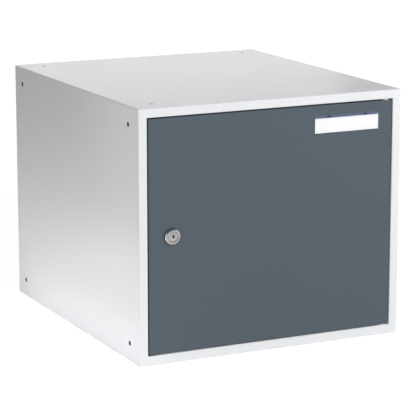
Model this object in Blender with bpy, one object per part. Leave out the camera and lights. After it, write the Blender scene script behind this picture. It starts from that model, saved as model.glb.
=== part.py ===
"""A cube locker of folded sheet steel: a welded casing, one inset door on pivot pins and a cam lock.

Metres, +Z up. X runs to the right and Y runs from the front to the back.
The origin is the centre of the base.
"""

import math
from functools import partial

import bmesh
import bpy
from mathutils import Matrix, Vector

# Overall size
WIDTH = 0.400
DEPTH = 0.450
HEIGHT = 0.350

# Clearances
SEAM = 0.0003
RUNNING = 0.0001
OVERRUN = 0.002

# Smoothness of bends and round pieces
BEND_STEPS = 5
ROUND_SIDES = 32
SMOOTH_ANGLE = math.radians(40)

# Casing
CASING_SHEET = 0.001
CASING_BEND = 0.0018
FRAME_FACE = 0.013
BACK_FLANGE = 0.015
BACK_BEND = 0.002

# Bolt holes that join lockers to each other
BOLT_HOLE = 0.007
SIDE_HOLE_FROM_END = 0.025
SIDE_HOLE_FROM_FRONT = 0.033
TOP_HOLE_FROM_SIDE = 0.034
HOLE_FROM_BACK = 0.0285

# Door
DOOR_SIDE_GAP = 0.0015
DOOR_TOP_GAP = 0.0016
DOOR_LOW_GAP = 0.0012
DOOR_SHEET = 0.001
DOOR_BEND = 0.0015
DOOR_CORNER = 0.001
DOOR_DEPTH = 0.016
DOOR_LIP = 0.012

# Hat section inside the door
STIFFENER_SHEET = 0.0008
STIFFENER_BEND = 0.0015
STIFFENER_FOOT = 0.012
STIFFENER_CROWN = 0.030
STIFFENER_SLOPE = 0.006
STIFFENER_HEIGHT = 0.011

# Strike behind the lock-side stile
STOP_SPACE = 0.002
STRIKE_SHEET = 0.001
STRIKE_BEND = 0.0008
STRIKE_REACH = 0.012
STRIKE_LEG = 0.012
STRIKE_FROM_RAIL = 0.012

# Rubber buffers
BUFFER_DIAMETER = 0.008
BUFFER_FROM_END = 0.050
SILL_BUFFER_INSET = 0.001
SILL_BUFFER_WIDTH = 0.008
SILL_BUFFER_LENGTH = 0.012
SILL_BUFFER_SETBACK = 0.0005

# Pivot hinges
PIVOT_INSET = 0.010
PIVOT_SETBACK = 0.0055
PIN_DIAMETER = 0.004
PIN_HEAD_DIAMETER = 0.008
PIN_HEAD_HEIGHT = 0.002
PIN_PAST_BRACKET = 0.001
WASHER_DIAMETER = 0.0105
HINGE_PLATE_SHEET = 0.0025
HINGE_PLATE_LENGTH = 0.024
BRACKET_SHEET = 0.0025
BRACKET_BEND = 0.003
BRACKET_ARM = 0.024
BRACKET_LEG = 0.030

# Label holder and card
LABEL_FROM_DOOR_SIDE = 0.0221
LABEL_FROM_DOOR_TOP = 0.0178
CARD_WIDTH = 0.0992
CARD_HEIGHT = 0.0206
CARD_THICKNESS = 0.0004
COVER_END = 0.0006
COVER_TOP_BEVEL = 0.0036
COVER_LOW_BEVEL = 0.0015
COVER_PROUD = 0.0024
FOOT_SPACING = 0.058
FOOT_WIDTH = 0.0054
FOOT_THICKNESS = 0.0009
FOOT_PAST_DOOR = 0.0015

# Cam lock
LOCK_FROM_SIDE = 0.0487
LOCK_SIDES = 48
LOCK_FLANGE_DIAMETER = 0.0235
LOCK_FLANGE_HEIGHT = 0.004
LOCK_RIM_HEIGHT = 0.0009
LOCK_FACE_DIAMETER = 0.0162
SHOULDER_STEPS = 4
LOCK_BARREL_DIAMETER = 0.019
LOCK_PLUG_DIAMETER = 0.014
LOCK_NUT_ACROSS_FLATS = 0.024
LOCK_NUT_HEIGHT = 0.004
NUT_SIDES = 6
KEYWAY_WIDTH = 0.0018
KEYWAY_HEIGHT = 0.0055
KEYWAY_RISE = 0.0008
KEYWAY_DEPTH = 0.0145
SPIGOT_SQUARE = 0.007
CAM_CLEARANCE = 0.0005
CAM_THICKNESS = 0.0025
CAM_WIDTH = 0.016
CAM_REACH = 0.030
CAM_WASHER_DIAMETER = 0.011
CAM_WASHER_THICKNESS = 0.0008
CAM_SCREW_DIAMETER = 0.004
CAM_SCREW_LENGTH = 0.008
CAM_SCREW_HEAD = 0.008
CAM_SCREW_HEAD_HEIGHT = 0.0024
CAM_SCREW_SLOT = 0.001

# Wafer tumblers in the plug
TUMBLERS = 5
TUMBLER_THICKNESS = 0.0010
TUMBLER_PITCH = 0.0022
TUMBLER_WIDTH = 0.0070
TUMBLER_HEIGHT = 0.0104
TUMBLER_RIM = 0.0016
TUMBLER_FROM_FACE = 0.0035

# Places worked out from the sizes above
FRONT = -DEPTH / 2
BACK = DEPTH / 2
HALF_WIDTH = WIDTH / 2
MIDDLE = HEIGHT / 2
FRAME_RETURN = DOOR_DEPTH + STOP_SPACE
OPENING_HALF = HALF_WIDTH - FRAME_FACE
DOOR_HALF = OPENING_HALF - DOOR_SIDE_GAP
DOOR_LOW = FRAME_FACE + DOOR_LOW_GAP
DOOR_HIGH = HEIGHT - FRAME_FACE - DOOR_TOP_GAP
DOOR_INNER = FRONT + DOOR_SHEET
DOOR_BACK = FRONT + DOOR_DEPTH
PIVOT_X = OPENING_HALF - PIVOT_INSET
PIVOT_Y = FRONT + PIVOT_SETBACK
STRIKE_FRONT = FRONT + FRAME_RETURN + SEAM
STRIKE_BACK = STRIKE_FRONT + STRIKE_SHEET
LOCK_X = LOCK_FROM_SIDE - HALF_WIDTH
LOCK_FACE = FRONT - SEAM - LOCK_FLANGE_HEIGHT
CAM_FRONT = STRIKE_BACK + CAM_CLEARANCE
CAM_BACK = CAM_FRONT + CAM_THICKNESS
BARREL_BACK = CAM_FRONT - SEAM
PLUG_FACE = LOCK_FACE + SEAM
SPIGOT_BACK = CAM_BACK - SEAM
LABEL_X = DOOR_HALF - LABEL_FROM_DOOR_SIDE - CARD_WIDTH / 2
LABEL_Z = DOOR_HIGH - LABEL_FROM_DOOR_TOP - CARD_HEIGHT / 2
COVER_BACK = FRONT - SEAM
COVER_FACE = COVER_BACK - COVER_PROUD
ALONG_X = Matrix.Rotation(math.pi / 2, 4, "Y")
ALONG_Y = Matrix.Rotation(-math.pi / 2, 4, "X")
ALONG_Z = Matrix.Identity(4)


# Shared helpers


def clear_scene():
    """Starts from an empty scene."""
    for old in list(bpy.data.objects):
        bpy.data.objects.remove(old, do_unlink=True)


def surface(name, colour, roughness, metallic=0.0, transmission=0.0):
    """A plain finish with one colour."""
    material = bpy.data.materials.new(name)
    material.use_nodes = True
    shader = material.node_tree.nodes["Principled BSDF"]
    shader.inputs["Base Color"].default_value = (*colour, 1.0)
    shader.inputs["Roughness"].default_value = roughness
    shader.inputs["Metallic"].default_value = metallic
    shader.inputs["Transmission Weight"].default_value = transmission
    return material


def add_object(name, bm, material=None):
    """Turns a bmesh into an object, with its faces pointing out and its round faces smooth."""
    bmesh.ops.recalc_face_normals(bm, faces=bm.faces)
    mesh = bpy.data.meshes.new(name)
    bm.to_mesh(mesh)
    bm.free()
    mesh.shade_smooth()
    mesh.set_sharp_from_angle(angle=SMOOTH_ANGLE)
    if material:
        mesh.materials.append(material)
    body = bpy.data.objects.new(name, mesh)
    bpy.context.collection.objects.link(body)
    return body


def add_cutter(name, bm):
    """A shape that only cuts other pieces."""
    cutter = add_object(name, bm)
    cutter.hide_render = True
    cutter.display_type = "WIRE"
    return cutter


def combine(body, other, operation):
    """Cuts another shape out of a piece, or joins it on."""
    modifier = body.modifiers.new(other.name, "BOOLEAN")
    modifier.operation = operation
    modifier.solver = "EXACT"
    modifier.object = other


def hang_on(empty, *bodies):
    """Puts the origins of moving pieces on the axis that an empty marks."""
    bpy.context.view_layer.update()
    axis_place = empty.matrix_world.translation
    for body in bodies:
        body.data.transform(Matrix.Translation(-axis_place))
        body.parent = empty


def add_axis(name, place, parent=None):
    """An empty on a joint's axis."""
    empty = bpy.data.objects.new(name, None)
    bpy.context.collection.objects.link(empty)
    empty.location = place
    if parent:
        empty.parent = parent
        empty.location = Vector(place) - parent.location
    return empty


def add_box(bm, low, high):
    """A box between two corners."""
    size = [b - a for a, b in zip(low, high)]
    centre = [(a + b) / 2 for a, b in zip(low, high)]
    matrix = Matrix.Translation(centre) @ Matrix.Diagonal((*size, 1.0))
    bmesh.ops.create_cube(bm, size=1.0, matrix=matrix)


def add_round(bm, centre, turn, diameter, length, sides=ROUND_SIDES):
    """A round bar whose axis is set by a turn of +Z."""
    matrix = Matrix.Translation(centre) @ turn
    radius = diameter / 2
    bmesh.ops.create_cone(
        bm, cap_ends=True, segments=sides, radius1=radius, radius2=radius, depth=length, matrix=matrix
    )


def turned(name, outline, place, turn, material, sides=ROUND_SIDES):
    """A turned piece: a closed outline of radius and height, which may start and end on the axis."""
    bm = bmesh.new()
    matrix = Matrix.Translation(place) @ turn
    rings = []
    for radius, height in outline:
        if radius == 0:
            rings.append([bm.verts.new(matrix @ Vector((0, 0, height)))] * sides)
            continue
        ring = []
        for side in range(sides):
            angle = 2 * math.pi * side / sides
            point = Vector((radius * math.cos(angle), radius * math.sin(angle), height))
            ring.append(bm.verts.new(matrix @ point))
        rings.append(ring)
    on_axis = outline[0][0] == 0
    pairs = list(zip(rings, rings[1:]))
    if not on_axis:
        pairs.append((rings[-1], rings[0]))
    for lower, upper in pairs:
        for side in range(sides):
            after = (side + 1) % sides
            corners = [lower[side], lower[after], upper[after], upper[side]]
            bm.faces.new(list(dict.fromkeys(corners)))
    return add_object(name, bm, material)


# Folded sheet


def bent_line(corners, radius):
    """Points and left-hand normals along a line with rounded corners."""
    points = [Vector(corner) for corner in corners]
    directions = [(b - a).normalized() for a, b in zip(points, points[1:])]
    normals = [Vector((-d.y, d.x)) for d in directions]
    samples = [(points[0], normals[0])]
    for index in range(1, len(points) - 1):
        before, after = directions[index - 1], directions[index]
        side = math.copysign(1, before.x * after.y - before.y * after.x)
        turn_angle = before.angle(after)
        start = points[index] - before * radius * math.tan(turn_angle / 2)
        centre = start + normals[index - 1] * side * radius
        for step in range(BEND_STEPS + 1):
            turn = Matrix.Rotation(side * turn_angle * step / BEND_STEPS, 2)
            normal = turn @ normals[index - 1]
            samples.append((centre - normal * side * radius, normal))
    samples.append((points[-1], normals[-1]))
    return samples


def folded(corners, thickness, outer_radius):
    """The two sides of a sheet, as pairs of points, folded along a line through its middle."""
    half = thickness / 2
    samples = bent_line(corners, outer_radius - half)
    return [(point + normal * half, point - normal * half) for point, normal in samples]


def lay_sheet(strip, places, closed=False, faced=False):
    """A folded sheet: the strip's pairs of points set at each of a row of places.

    A closed sheet joins its last place to its first. A faced one is a tray, with a flat sheet across the
    strip's first pair.
    """
    bm = bmesh.new()
    near, far = [
        [[bm.verts.new(place(pair[side])) for place in places] for pair in strip] for side in (0, 1)
    ]
    columns = len(places) if closed else len(places) - 1
    for column in range(columns):
        after = (column + 1) % len(places)
        for side in (near, far):
            for this_row, next_row in zip(side, side[1:]):
                bm.faces.new((this_row[column], this_row[after], next_row[after], next_row[column]))
        rims = (len(strip) - 1,) if faced else (0, len(strip) - 1)
        for row in rims:
            bm.faces.new((near[row][column], near[row][after], far[row][after], far[row][column]))
    if not closed:
        for column in (0, columns):
            for row in range(len(strip) - 1):
                rim = (near[row][column], near[row + 1][column], far[row + 1][column], far[row][column])
                bm.faces.new(rim)
    if faced:
        for side in (near, far):
            bm.faces.new(side[0])
    bmesh.ops.remove_doubles(bm, verts=bm.verts, dist=SEAM / 1000)
    return bm


def corner_place(point, corner, inward, radius, angle, face, deeper):
    """A strip's point at a rounded corner of an upright frame: its X is the inset, its Y is the depth."""
    inset, depth = point
    if inset < radius:
        x = corner[0] + inward[0] * radius + (radius - inset) * math.cos(angle)
        z = corner[1] + inward[1] * radius + (radius - inset) * math.sin(angle)
    else:
        x = corner[0] + inward[0] * inset
        z = corner[1] + inward[1] * inset
    return Vector((x, face + deeper * depth, z))


def around_corner(corner, inward, start_angle, radius, face, deeper):
    """The places round one corner, clockwise as seen from the front."""
    quarter = math.pi / 2
    angles = [start_angle - quarter * step / BEND_STEPS for step in range(BEND_STEPS + 1)]
    shared = {"corner": corner, "inward": inward, "radius": radius, "face": face, "deeper": deeper}
    return [partial(corner_place, angle=angle, **shared) for angle in angles]


def around_frame(half_width, low, high, radius, face, deeper):
    """The places right round an upright rectangle."""
    places = around_corner((-half_width, high), (1, -1), math.pi, radius, face, deeper)
    places += around_corner((half_width, high), (-1, -1), math.pi / 2, radius, face, deeper)
    places += around_corner((half_width, low), (-1, 1), 0, radius, face, deeper)
    places += around_corner((-half_width, low), (1, 1), -math.pi / 2, radius, face, deeper)
    return places


def upwards(stations):
    """Places one above another, for a strip drawn in X and Y."""
    return [lambda point, z=z: Vector((point[0], point[1], z)) for z in stations]


def into_depth(stations):
    """Places one behind another, for a strip drawn in X and Z."""
    return [lambda point, y=y: Vector((point[0], y, point[1])) for y in stations]


# Casing


def level(end, distance):
    """The height at a distance inside the top or the bottom of the locker."""
    return HEIGHT - distance if end == "upper" else distance


def door_inset(end):
    """How far the door's edge lies inside the top or the bottom of the locker."""
    return HEIGHT - DOOR_HIGH if end == "upper" else DOOR_LOW


def hole_depths():
    """Where the front and the back bolt holes lie along Y."""
    return FRONT + SIDE_HOLE_FROM_FRONT, BACK - HOLE_FROM_BACK


def add_flat_holes(bm, end):
    """The four bolt holes in the top or the bottom."""
    for side in (-1, 1):
        for y in hole_depths():
            centre = (side * (HALF_WIDTH - TOP_HOLE_FROM_SIDE), y, level(end, CASING_SHEET / 2))
            add_round(bm, centre, ALONG_Z, BOLT_HOLE, CASING_SHEET + 2 * OVERRUN)


def add_pin_hole(bm, end, inset, sheet):
    """The hole for a pivot pin in a sheet that lies a given distance inside the top or the bottom."""
    centre = (PIVOT_X, PIVOT_Y, level(end, inset + sheet / 2))
    add_round(bm, centre, ALONG_Z, PIN_DIAMETER + 2 * RUNNING, sheet + 2 * SEAM)


def make_casing_wrap(paint):
    """Four sides in one folded sheet, with the front edges folded in as a mitred face frame."""
    half = CASING_SHEET / 2
    line = [(half, DEPTH), (half, half), (FRAME_FACE - half, half), (FRAME_FACE - half, FRAME_RETURN)]
    strip = folded(line, CASING_SHEET, CASING_BEND)
    places = around_frame(HALF_WIDTH, 0, HEIGHT, CASING_BEND, FRONT, 1)
    wrap = add_object("casing_wrap", lay_sheet(strip, places, closed=True), paint)

    holes = bmesh.new()
    for side in (-1, 1):
        for y in hole_depths():
            for z in (SIDE_HOLE_FROM_END, HEIGHT - SIDE_HOLE_FROM_END):
                centre = (side * (HALF_WIDTH - CASING_SHEET / 2), y, z)
                add_round(holes, centre, ALONG_X, BOLT_HOLE, CASING_SHEET + 2 * OVERRUN)
    for end in ("upper", "lower"):
        add_flat_holes(holes, end)
        add_pin_hole(holes, end, FRAME_FACE - CASING_SHEET, CASING_SHEET)
    combine(wrap, add_cutter("casing_wrap_holes", holes), "DIFFERENCE")
    return wrap


def make_back_panel(paint):
    """A tray set between the sides, with its edges folded backward, flush with the sides."""
    half = CASING_SHEET / 2
    line = [(BACK_FLANGE, half), (half, half), (half, BACK_FLANGE)]
    strip = folded(line, CASING_SHEET, BACK_BEND)
    inset = CASING_SHEET + SEAM
    places = around_frame(HALF_WIDTH - inset, inset, HEIGHT - inset, BACK_BEND, BACK - BACK_FLANGE, 1)
    return add_object("back_panel", lay_sheet(strip, places, closed=True, faced=True), paint)


def make_strike_angle(paint):
    """The angle welded inside the lock-side stile, which the door closes against and the cam turns behind."""
    half = STRIKE_SHEET / 2
    leg_x = -OPENING_HALF - CASING_SHEET - SEAM - half
    lip_y = STRIKE_FRONT + half
    line = [(leg_x, STRIKE_FRONT - STRIKE_LEG), (leg_x, lip_y), (STRIKE_REACH - OPENING_HALF, lip_y)]
    strip = folded(line, STRIKE_SHEET, STRIKE_BEND + half)
    from_end = FRAME_FACE + STRIKE_FROM_RAIL
    return add_object("strike_angle", lay_sheet(strip, upwards((from_end, HEIGHT - from_end))), paint)


# Door


def make_door_pan(paint):
    """The door skin with its edges folded back and in again."""
    half = DOOR_SHEET / 2
    line = [(DOOR_LIP, half), (half, half), (half, DOOR_DEPTH - half), (DOOR_LIP, DOOR_DEPTH - half)]
    strip = folded(line, DOOR_SHEET, DOOR_BEND)
    places = around_frame(DOOR_HALF, DOOR_LOW, DOOR_HIGH, DOOR_CORNER, FRONT, 1)
    door = add_object("door_pan", lay_sheet(strip, places, closed=True, faced=True), paint)

    holes = bmesh.new()
    centre = (LOCK_X, FRONT + half, MIDDLE)
    add_round(holes, centre, ALONG_Y, LOCK_BARREL_DIAMETER + 2 * SEAM, DOOR_SHEET + 2 * OVERRUN, LOCK_SIDES)
    for x, z in label_feet():
        reach = (FOOT_WIDTH / 2 + SEAM, FOOT_THICKNESS / 2 + SEAM)
        low = (x - reach[0], FRONT - OVERRUN, z - reach[1])
        high = (x + reach[0], DOOR_INNER + OVERRUN, z + reach[1])
        add_box(holes, low, high)
    for end in ("upper", "lower"):
        add_pin_hole(holes, end, door_inset(end), DOOR_SHEET)
    combine(door, add_cutter("door_pan_holes", holes), "DIFFERENCE")
    return door


def make_door_stiffener(paint):
    """A hat section up the inside of the door."""
    half = STIFFENER_SHEET / 2
    foot_y = DOOR_INNER + SEAM + half
    crown_y = foot_y + STIFFENER_HEIGHT - STIFFENER_SHEET
    crown = STIFFENER_CROWN / 2
    root = crown + STIFFENER_SLOPE
    outer = root + STIFFENER_FOOT
    right = [(crown, crown_y), (root, foot_y), (outer, foot_y)]
    line = [(-x, y) for x, y in reversed(right)] + right
    strip = folded(line, STIFFENER_SHEET, STIFFENER_BEND)
    inset = DOOR_SHEET + SEAM
    ends = (DOOR_LOW + inset, DOOR_HIGH - inset)
    return add_object("door_stiffener", lay_sheet(strip, upwards(ends)), paint)


# Pivot hinges


def make_pin(end, steel):
    """A headed pin through the hinge plate, the rail, the washer, the door edge and the bracket."""
    head_inset = FRAME_FACE - CASING_SHEET - SEAM - HINGE_PLATE_SHEET - SEAM
    tip_inset = door_inset(end) + DOOR_SHEET + SEAM + BRACKET_SHEET + PIN_PAST_BRACKET
    shank, head = PIN_DIAMETER / 2, PIN_HEAD_DIAMETER / 2
    chamfer = PIN_DIAMETER / 8
    outline = [
        (0, head_inset - PIN_HEAD_HEIGHT),
        (head - chamfer, head_inset - PIN_HEAD_HEIGHT),
        (head, head_inset - PIN_HEAD_HEIGHT + chamfer),
        (head, head_inset),
        (shank, head_inset),
        (shank, tip_inset - chamfer),
        (shank - chamfer, tip_inset),
        (0, tip_inset),
    ]
    heights = [(radius, level(end, inset)) for radius, inset in outline]
    return turned(f"{end}_pin", heights, (PIVOT_X, PIVOT_Y, 0), ALONG_Z, steel)


def make_washer(end, nylon):
    """A washer that fills the gap between the rail and the door."""
    bore, rim = PIN_DIAMETER / 2 + RUNNING, WASHER_DIAMETER / 2
    near, far = FRAME_FACE + SEAM, door_inset(end) - SEAM
    outline = [(bore, near), (rim, near), (rim, far), (bore, far)]
    heights = [(radius, level(end, inset)) for radius, inset in outline]
    return turned(f"{end}_washer", heights, (PIVOT_X, PIVOT_Y, 0), ALONG_Z, nylon)


def make_hinge_plate(end, steel):
    """A plate welded inside the rail, which the pin stands in."""
    far = FRAME_FACE - CASING_SHEET - SEAM
    near = far - HINGE_PLATE_SHEET
    heights = sorted((level(end, near), level(end, far)))
    right = OPENING_HALF - SEAM
    low = (right - HINGE_PLATE_LENGTH, FRONT + CASING_BEND, heights[0])
    high = (right, FRONT + FRAME_RETURN, heights[1])
    bm = bmesh.new()
    add_box(bm, low, high)
    plate = add_object(f"{end}_hinge_plate", bm, steel)
    hole = bmesh.new()
    add_pin_hole(hole, end, near, HINGE_PLATE_SHEET)
    combine(plate, add_cutter(f"{end}_hinge_plate_hole", hole), "DIFFERENCE")
    return plate


def make_pivot_bracket(end, steel):
    """An angle welded in the door's corner, which turns on the pin."""
    half = BRACKET_SHEET / 2
    arm_inset = door_inset(end) + DOOR_SHEET + SEAM + half
    leg_x = DOOR_HALF - DOOR_SHEET - SEAM - half
    line = [
        (leg_x + half - BRACKET_ARM, level(end, arm_inset)),
        (leg_x, level(end, arm_inset)),
        (leg_x, level(end, arm_inset - half + BRACKET_LEG)),
    ]
    strip = folded(line, BRACKET_SHEET, BRACKET_BEND)
    bm = lay_sheet(strip, into_depth((FRONT + DOOR_BEND, DOOR_BACK - DOOR_BEND)))
    bracket = add_object(f"{end}_pivot_bracket", bm, steel)
    hole = bmesh.new()
    add_pin_hole(hole, end, arm_inset - half, BRACKET_SHEET)
    combine(bracket, add_cutter(f"{end}_pivot_bracket_hole", hole), "DIFFERENCE")
    return bracket


# Rubber buffers


def make_stop_buffer(end, rubber):
    """A round pad on the strike, which the closed door rests against."""
    x = (STRIKE_REACH - OPENING_HALF - DOOR_HALF) / 2
    front, back = DOOR_BACK + SEAM, STRIKE_FRONT - SEAM
    radius = BUFFER_DIAMETER / 2
    outline = [(0, front), (radius, front), (radius, back), (0, back)]
    place = (x, 0, level(end, FRAME_FACE + BUFFER_FROM_END))
    return turned(f"{end}_stop_buffer", outline, place, ALONG_Y, rubber)


def make_sill_buffer(rubber):
    """A small pad on the bottom rail under the door's free corner."""
    left = SILL_BUFFER_INSET - OPENING_HALF
    front = FRONT + SILL_BUFFER_SETBACK
    bm = bmesh.new()
    low = (left, front, FRAME_FACE + SEAM)
    high = (left + SILL_BUFFER_WIDTH, front + SILL_BUFFER_LENGTH, DOOR_LOW - SEAM)
    add_box(bm, low, high)
    return add_object("sill_buffer", bm, rubber)


# Label


def label_feet():
    """The X and Z of the four feet that clip the label holder into the door."""
    x_reach = FOOT_SPACING / 2
    low = LABEL_Z - CARD_HEIGHT / 2 - COVER_LOW_BEVEL / 2
    high = LABEL_Z + CARD_HEIGHT / 2 + COVER_TOP_BEVEL / 2
    return [(LABEL_X + side * x_reach, z) for side in (-1, 1) for z in (low, high)]


def make_label_cover(clear_plastic):
    """A clear holder with sloping top and bottom edges, a pocket behind and four feet."""
    window = CARD_HEIGHT / 2
    section = [
        (COVER_BACK, LABEL_Z - window - COVER_LOW_BEVEL),
        (COVER_FACE, LABEL_Z - window),
        (COVER_FACE, LABEL_Z + window),
        (COVER_BACK, LABEL_Z + window + COVER_TOP_BEVEL),
    ]
    half_length = CARD_WIDTH / 2 + COVER_END
    bm = bmesh.new()
    ends = (LABEL_X - half_length, LABEL_X + half_length)
    rings = [[bm.verts.new((x, y, z)) for y, z in section] for x in ends]
    for ring in rings:
        bm.faces.new(ring)
    for index in range(len(section)):
        after = (index + 1) % len(section)
        bm.faces.new((rings[0][index], rings[0][after], rings[1][after], rings[1][index]))
    cover = add_object("label_cover", bm, clear_plastic)

    pocket = bmesh.new()
    reach = (CARD_WIDTH / 2 + SEAM, CARD_HEIGHT / 2 + SEAM)
    low = (LABEL_X - reach[0], COVER_BACK - CARD_THICKNESS - SEAM, LABEL_Z - reach[1])
    high = (LABEL_X + reach[0], FRONT, LABEL_Z + reach[1])
    add_box(pocket, low, high)
    combine(cover, add_cutter("label_cover_pocket", pocket), "DIFFERENCE")

    feet = bmesh.new()
    for x, z in label_feet():
        low = (x - FOOT_WIDTH / 2, COVER_BACK - SEAM, z - FOOT_THICKNESS / 2)
        high = (x + FOOT_WIDTH / 2, DOOR_INNER + FOOT_PAST_DOOR, z + FOOT_THICKNESS / 2)
        add_box(feet, low, high)
    combine(cover, add_cutter("label_cover_feet", feet), "UNION")
    return cover


def make_label_card(card):
    """The card behind the holder."""
    bm = bmesh.new()
    reach = (CARD_WIDTH / 2, CARD_HEIGHT / 2)
    low = (LABEL_X - reach[0], FRONT - SEAM - CARD_THICKNESS, LABEL_Z - reach[1])
    high = (LABEL_X + reach[0], FRONT - SEAM, LABEL_Z + reach[1])
    add_box(bm, low, high)
    return add_object("label_card", bm, card)


# Cam lock


def lock_place(y=0):
    """A place on the lock's axis."""
    return (LOCK_X, y, MIDDLE)


def flange_shoulder():
    """The rounded shoulder of the lock's flange, from its flat face out to its rim."""
    inner, outer = LOCK_FACE_DIAMETER / 2, LOCK_FLANGE_DIAMETER / 2
    rim = FRONT - SEAM - LOCK_RIM_HEIGHT
    points = []
    for step in range(SHOULDER_STEPS + 1):
        turn = math.pi / 2 * step / SHOULDER_STEPS
        points.append((inner + (outer - inner) * math.sin(turn), rim - (rim - LOCK_FACE) * math.cos(turn)))
    return points


def make_lock_housing(chrome):
    """The lock's body: a domed flange on the door's face and a barrel through it."""
    bore = LOCK_PLUG_DIAMETER / 2 + RUNNING
    barrel, flange = LOCK_BARREL_DIAMETER / 2, LOCK_FLANGE_DIAMETER / 2
    outline = [
        (bore, LOCK_FACE),
        *flange_shoulder(),
        (flange, FRONT - SEAM),
        (barrel, FRONT - SEAM),
        (barrel, BARREL_BACK),
        (bore, BARREL_BACK),
    ]
    return turned("lock_housing", outline, lock_place(), ALONG_Y, chrome, LOCK_SIDES)


def make_lock_nut(zinc):
    """The nut that holds the housing in the door."""
    front = DOOR_INNER + SEAM
    nut_bm = bmesh.new()
    centre = lock_place(front + LOCK_NUT_HEIGHT / 2)
    across_corners = LOCK_NUT_ACROSS_FLATS / math.cos(math.pi / NUT_SIDES)
    add_round(nut_bm, centre, ALONG_Y, across_corners, LOCK_NUT_HEIGHT, NUT_SIDES)
    nut = add_object("lock_nut", nut_bm, zinc)
    bore = bmesh.new()
    diameter = LOCK_BARREL_DIAMETER + 2 * RUNNING
    length = LOCK_NUT_HEIGHT + 2 * OVERRUN
    add_round(bore, centre, ALONG_Y, diameter, length, LOCK_SIDES)
    combine(nut, add_cutter("lock_nut_bore", bore), "DIFFERENCE")
    return nut


def tumbler_front(index):
    """Where a tumbler's front face lies along Y."""
    return PLUG_FACE + TUMBLER_FROM_FACE + index * TUMBLER_PITCH


def make_lock_cylinder(brass):
    """The plug that the key turns, with a keyway, tumbler slots and a square end for the cam."""
    radius = LOCK_PLUG_DIAMETER / 2
    outline = [(0, PLUG_FACE), (radius, PLUG_FACE), (radius, BARREL_BACK), (0, BARREL_BACK)]
    plug = turned("lock_cylinder", outline, lock_place(), ALONG_Y, brass, LOCK_SIDES)

    spigot = bmesh.new()
    reach = SPIGOT_SQUARE / 2
    low = (LOCK_X - reach, BARREL_BACK - OVERRUN, MIDDLE - reach)
    high = (LOCK_X + reach, SPIGOT_BACK, MIDDLE + reach)
    add_box(spigot, low, high)
    combine(plug, add_cutter("lock_cylinder_spigot", spigot), "UNION")

    keyway = bmesh.new()
    middle = MIDDLE + KEYWAY_RISE
    low = (LOCK_X - KEYWAY_WIDTH / 2, PLUG_FACE - OVERRUN, middle - KEYWAY_HEIGHT / 2)
    high = (LOCK_X + KEYWAY_WIDTH / 2, PLUG_FACE + KEYWAY_DEPTH, middle + KEYWAY_HEIGHT / 2)
    add_box(keyway, low, high)
    combine(plug, add_cutter("lock_cylinder_keyway", keyway), "DIFFERENCE")

    slots = bmesh.new()
    reach = TUMBLER_WIDTH / 2 + RUNNING
    bottom = MIDDLE - TUMBLER_HEIGHT / 2 - RUNNING
    for index in range(TUMBLERS):
        front = tumbler_front(index)
        low = (LOCK_X - reach, front - RUNNING, bottom)
        high = (LOCK_X + reach, front + TUMBLER_THICKNESS + RUNNING, MIDDLE + radius + OVERRUN)
        add_box(slots, low, high)
    combine(plug, add_cutter("lock_cylinder_slots", slots), "DIFFERENCE")

    tapping = bmesh.new()
    end = SPIGOT_BACK + OVERRUN
    start = screw_tip() - SEAM
    diameter = CAM_SCREW_DIAMETER + 2 * RUNNING
    add_round(tapping, lock_place((start + end) / 2), ALONG_Y, diameter, end - start)
    combine(plug, add_cutter("lock_cylinder_tapping", tapping), "DIFFERENCE")
    return plug


def make_tumbler(index, brass):
    """A flat wafer with a window that the key passes through."""
    front = tumbler_front(index)
    half_width, half_height = TUMBLER_WIDTH / 2, TUMBLER_HEIGHT / 2
    bm = bmesh.new()
    low = (LOCK_X - half_width, front, MIDDLE - half_height)
    high = (LOCK_X + half_width, front + TUMBLER_THICKNESS, MIDDLE + half_height)
    add_box(bm, low, high)
    tumbler = add_object(f"tumbler_{index + 1}", bm, brass)
    window = bmesh.new()
    low = (LOCK_X - half_width + TUMBLER_RIM, front - OVERRUN, MIDDLE - half_height + TUMBLER_RIM)
    back = front + TUMBLER_THICKNESS + OVERRUN
    high = (LOCK_X + half_width - TUMBLER_RIM, back, MIDDLE + half_height - TUMBLER_RIM)
    add_box(window, low, high)
    combine(tumbler, add_cutter(f"tumbler_{index + 1}_window", window), "DIFFERENCE")
    return tumbler


def make_lock_cam(zinc):
    """The flat bar that the plug turns. It points down while the lock is open."""
    radius = CAM_WIDTH / 2
    tip = CAM_REACH - radius
    steps = ROUND_SIDES // 2
    outline = []
    for centre, start in ((0, 0), (-tip, math.pi)):
        for step in range(steps + 1):
            angle = start + math.pi * step / steps
            x, z = radius * math.cos(angle), radius * math.sin(angle)
            outline.append((LOCK_X + x, MIDDLE + centre + z))
    bm = bmesh.new()
    rings = [[bm.verts.new((x, y, z)) for x, z in outline] for y in (CAM_FRONT, CAM_BACK)]
    for ring in rings:
        bm.faces.new(ring)
    for index in range(len(outline)):
        after = (index + 1) % len(outline)
        bm.faces.new((rings[0][index], rings[0][after], rings[1][after], rings[1][index]))
    cam = add_object("lock_cam", bm, zinc)
    square = bmesh.new()
    reach = SPIGOT_SQUARE / 2 + RUNNING
    low = (LOCK_X - reach, CAM_FRONT - OVERRUN, MIDDLE - reach)
    high = (LOCK_X + reach, CAM_BACK + OVERRUN, MIDDLE + reach)
    add_box(square, low, high)
    combine(cam, add_cutter("lock_cam_square", square), "DIFFERENCE")
    return cam


def screw_seat():
    """Where the underside of the cam screw's head lies along Y."""
    return CAM_BACK + SEAM + CAM_WASHER_THICKNESS + SEAM


def screw_tip():
    """Where the cam screw's end lies along Y."""
    return screw_seat() - CAM_SCREW_LENGTH


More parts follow.
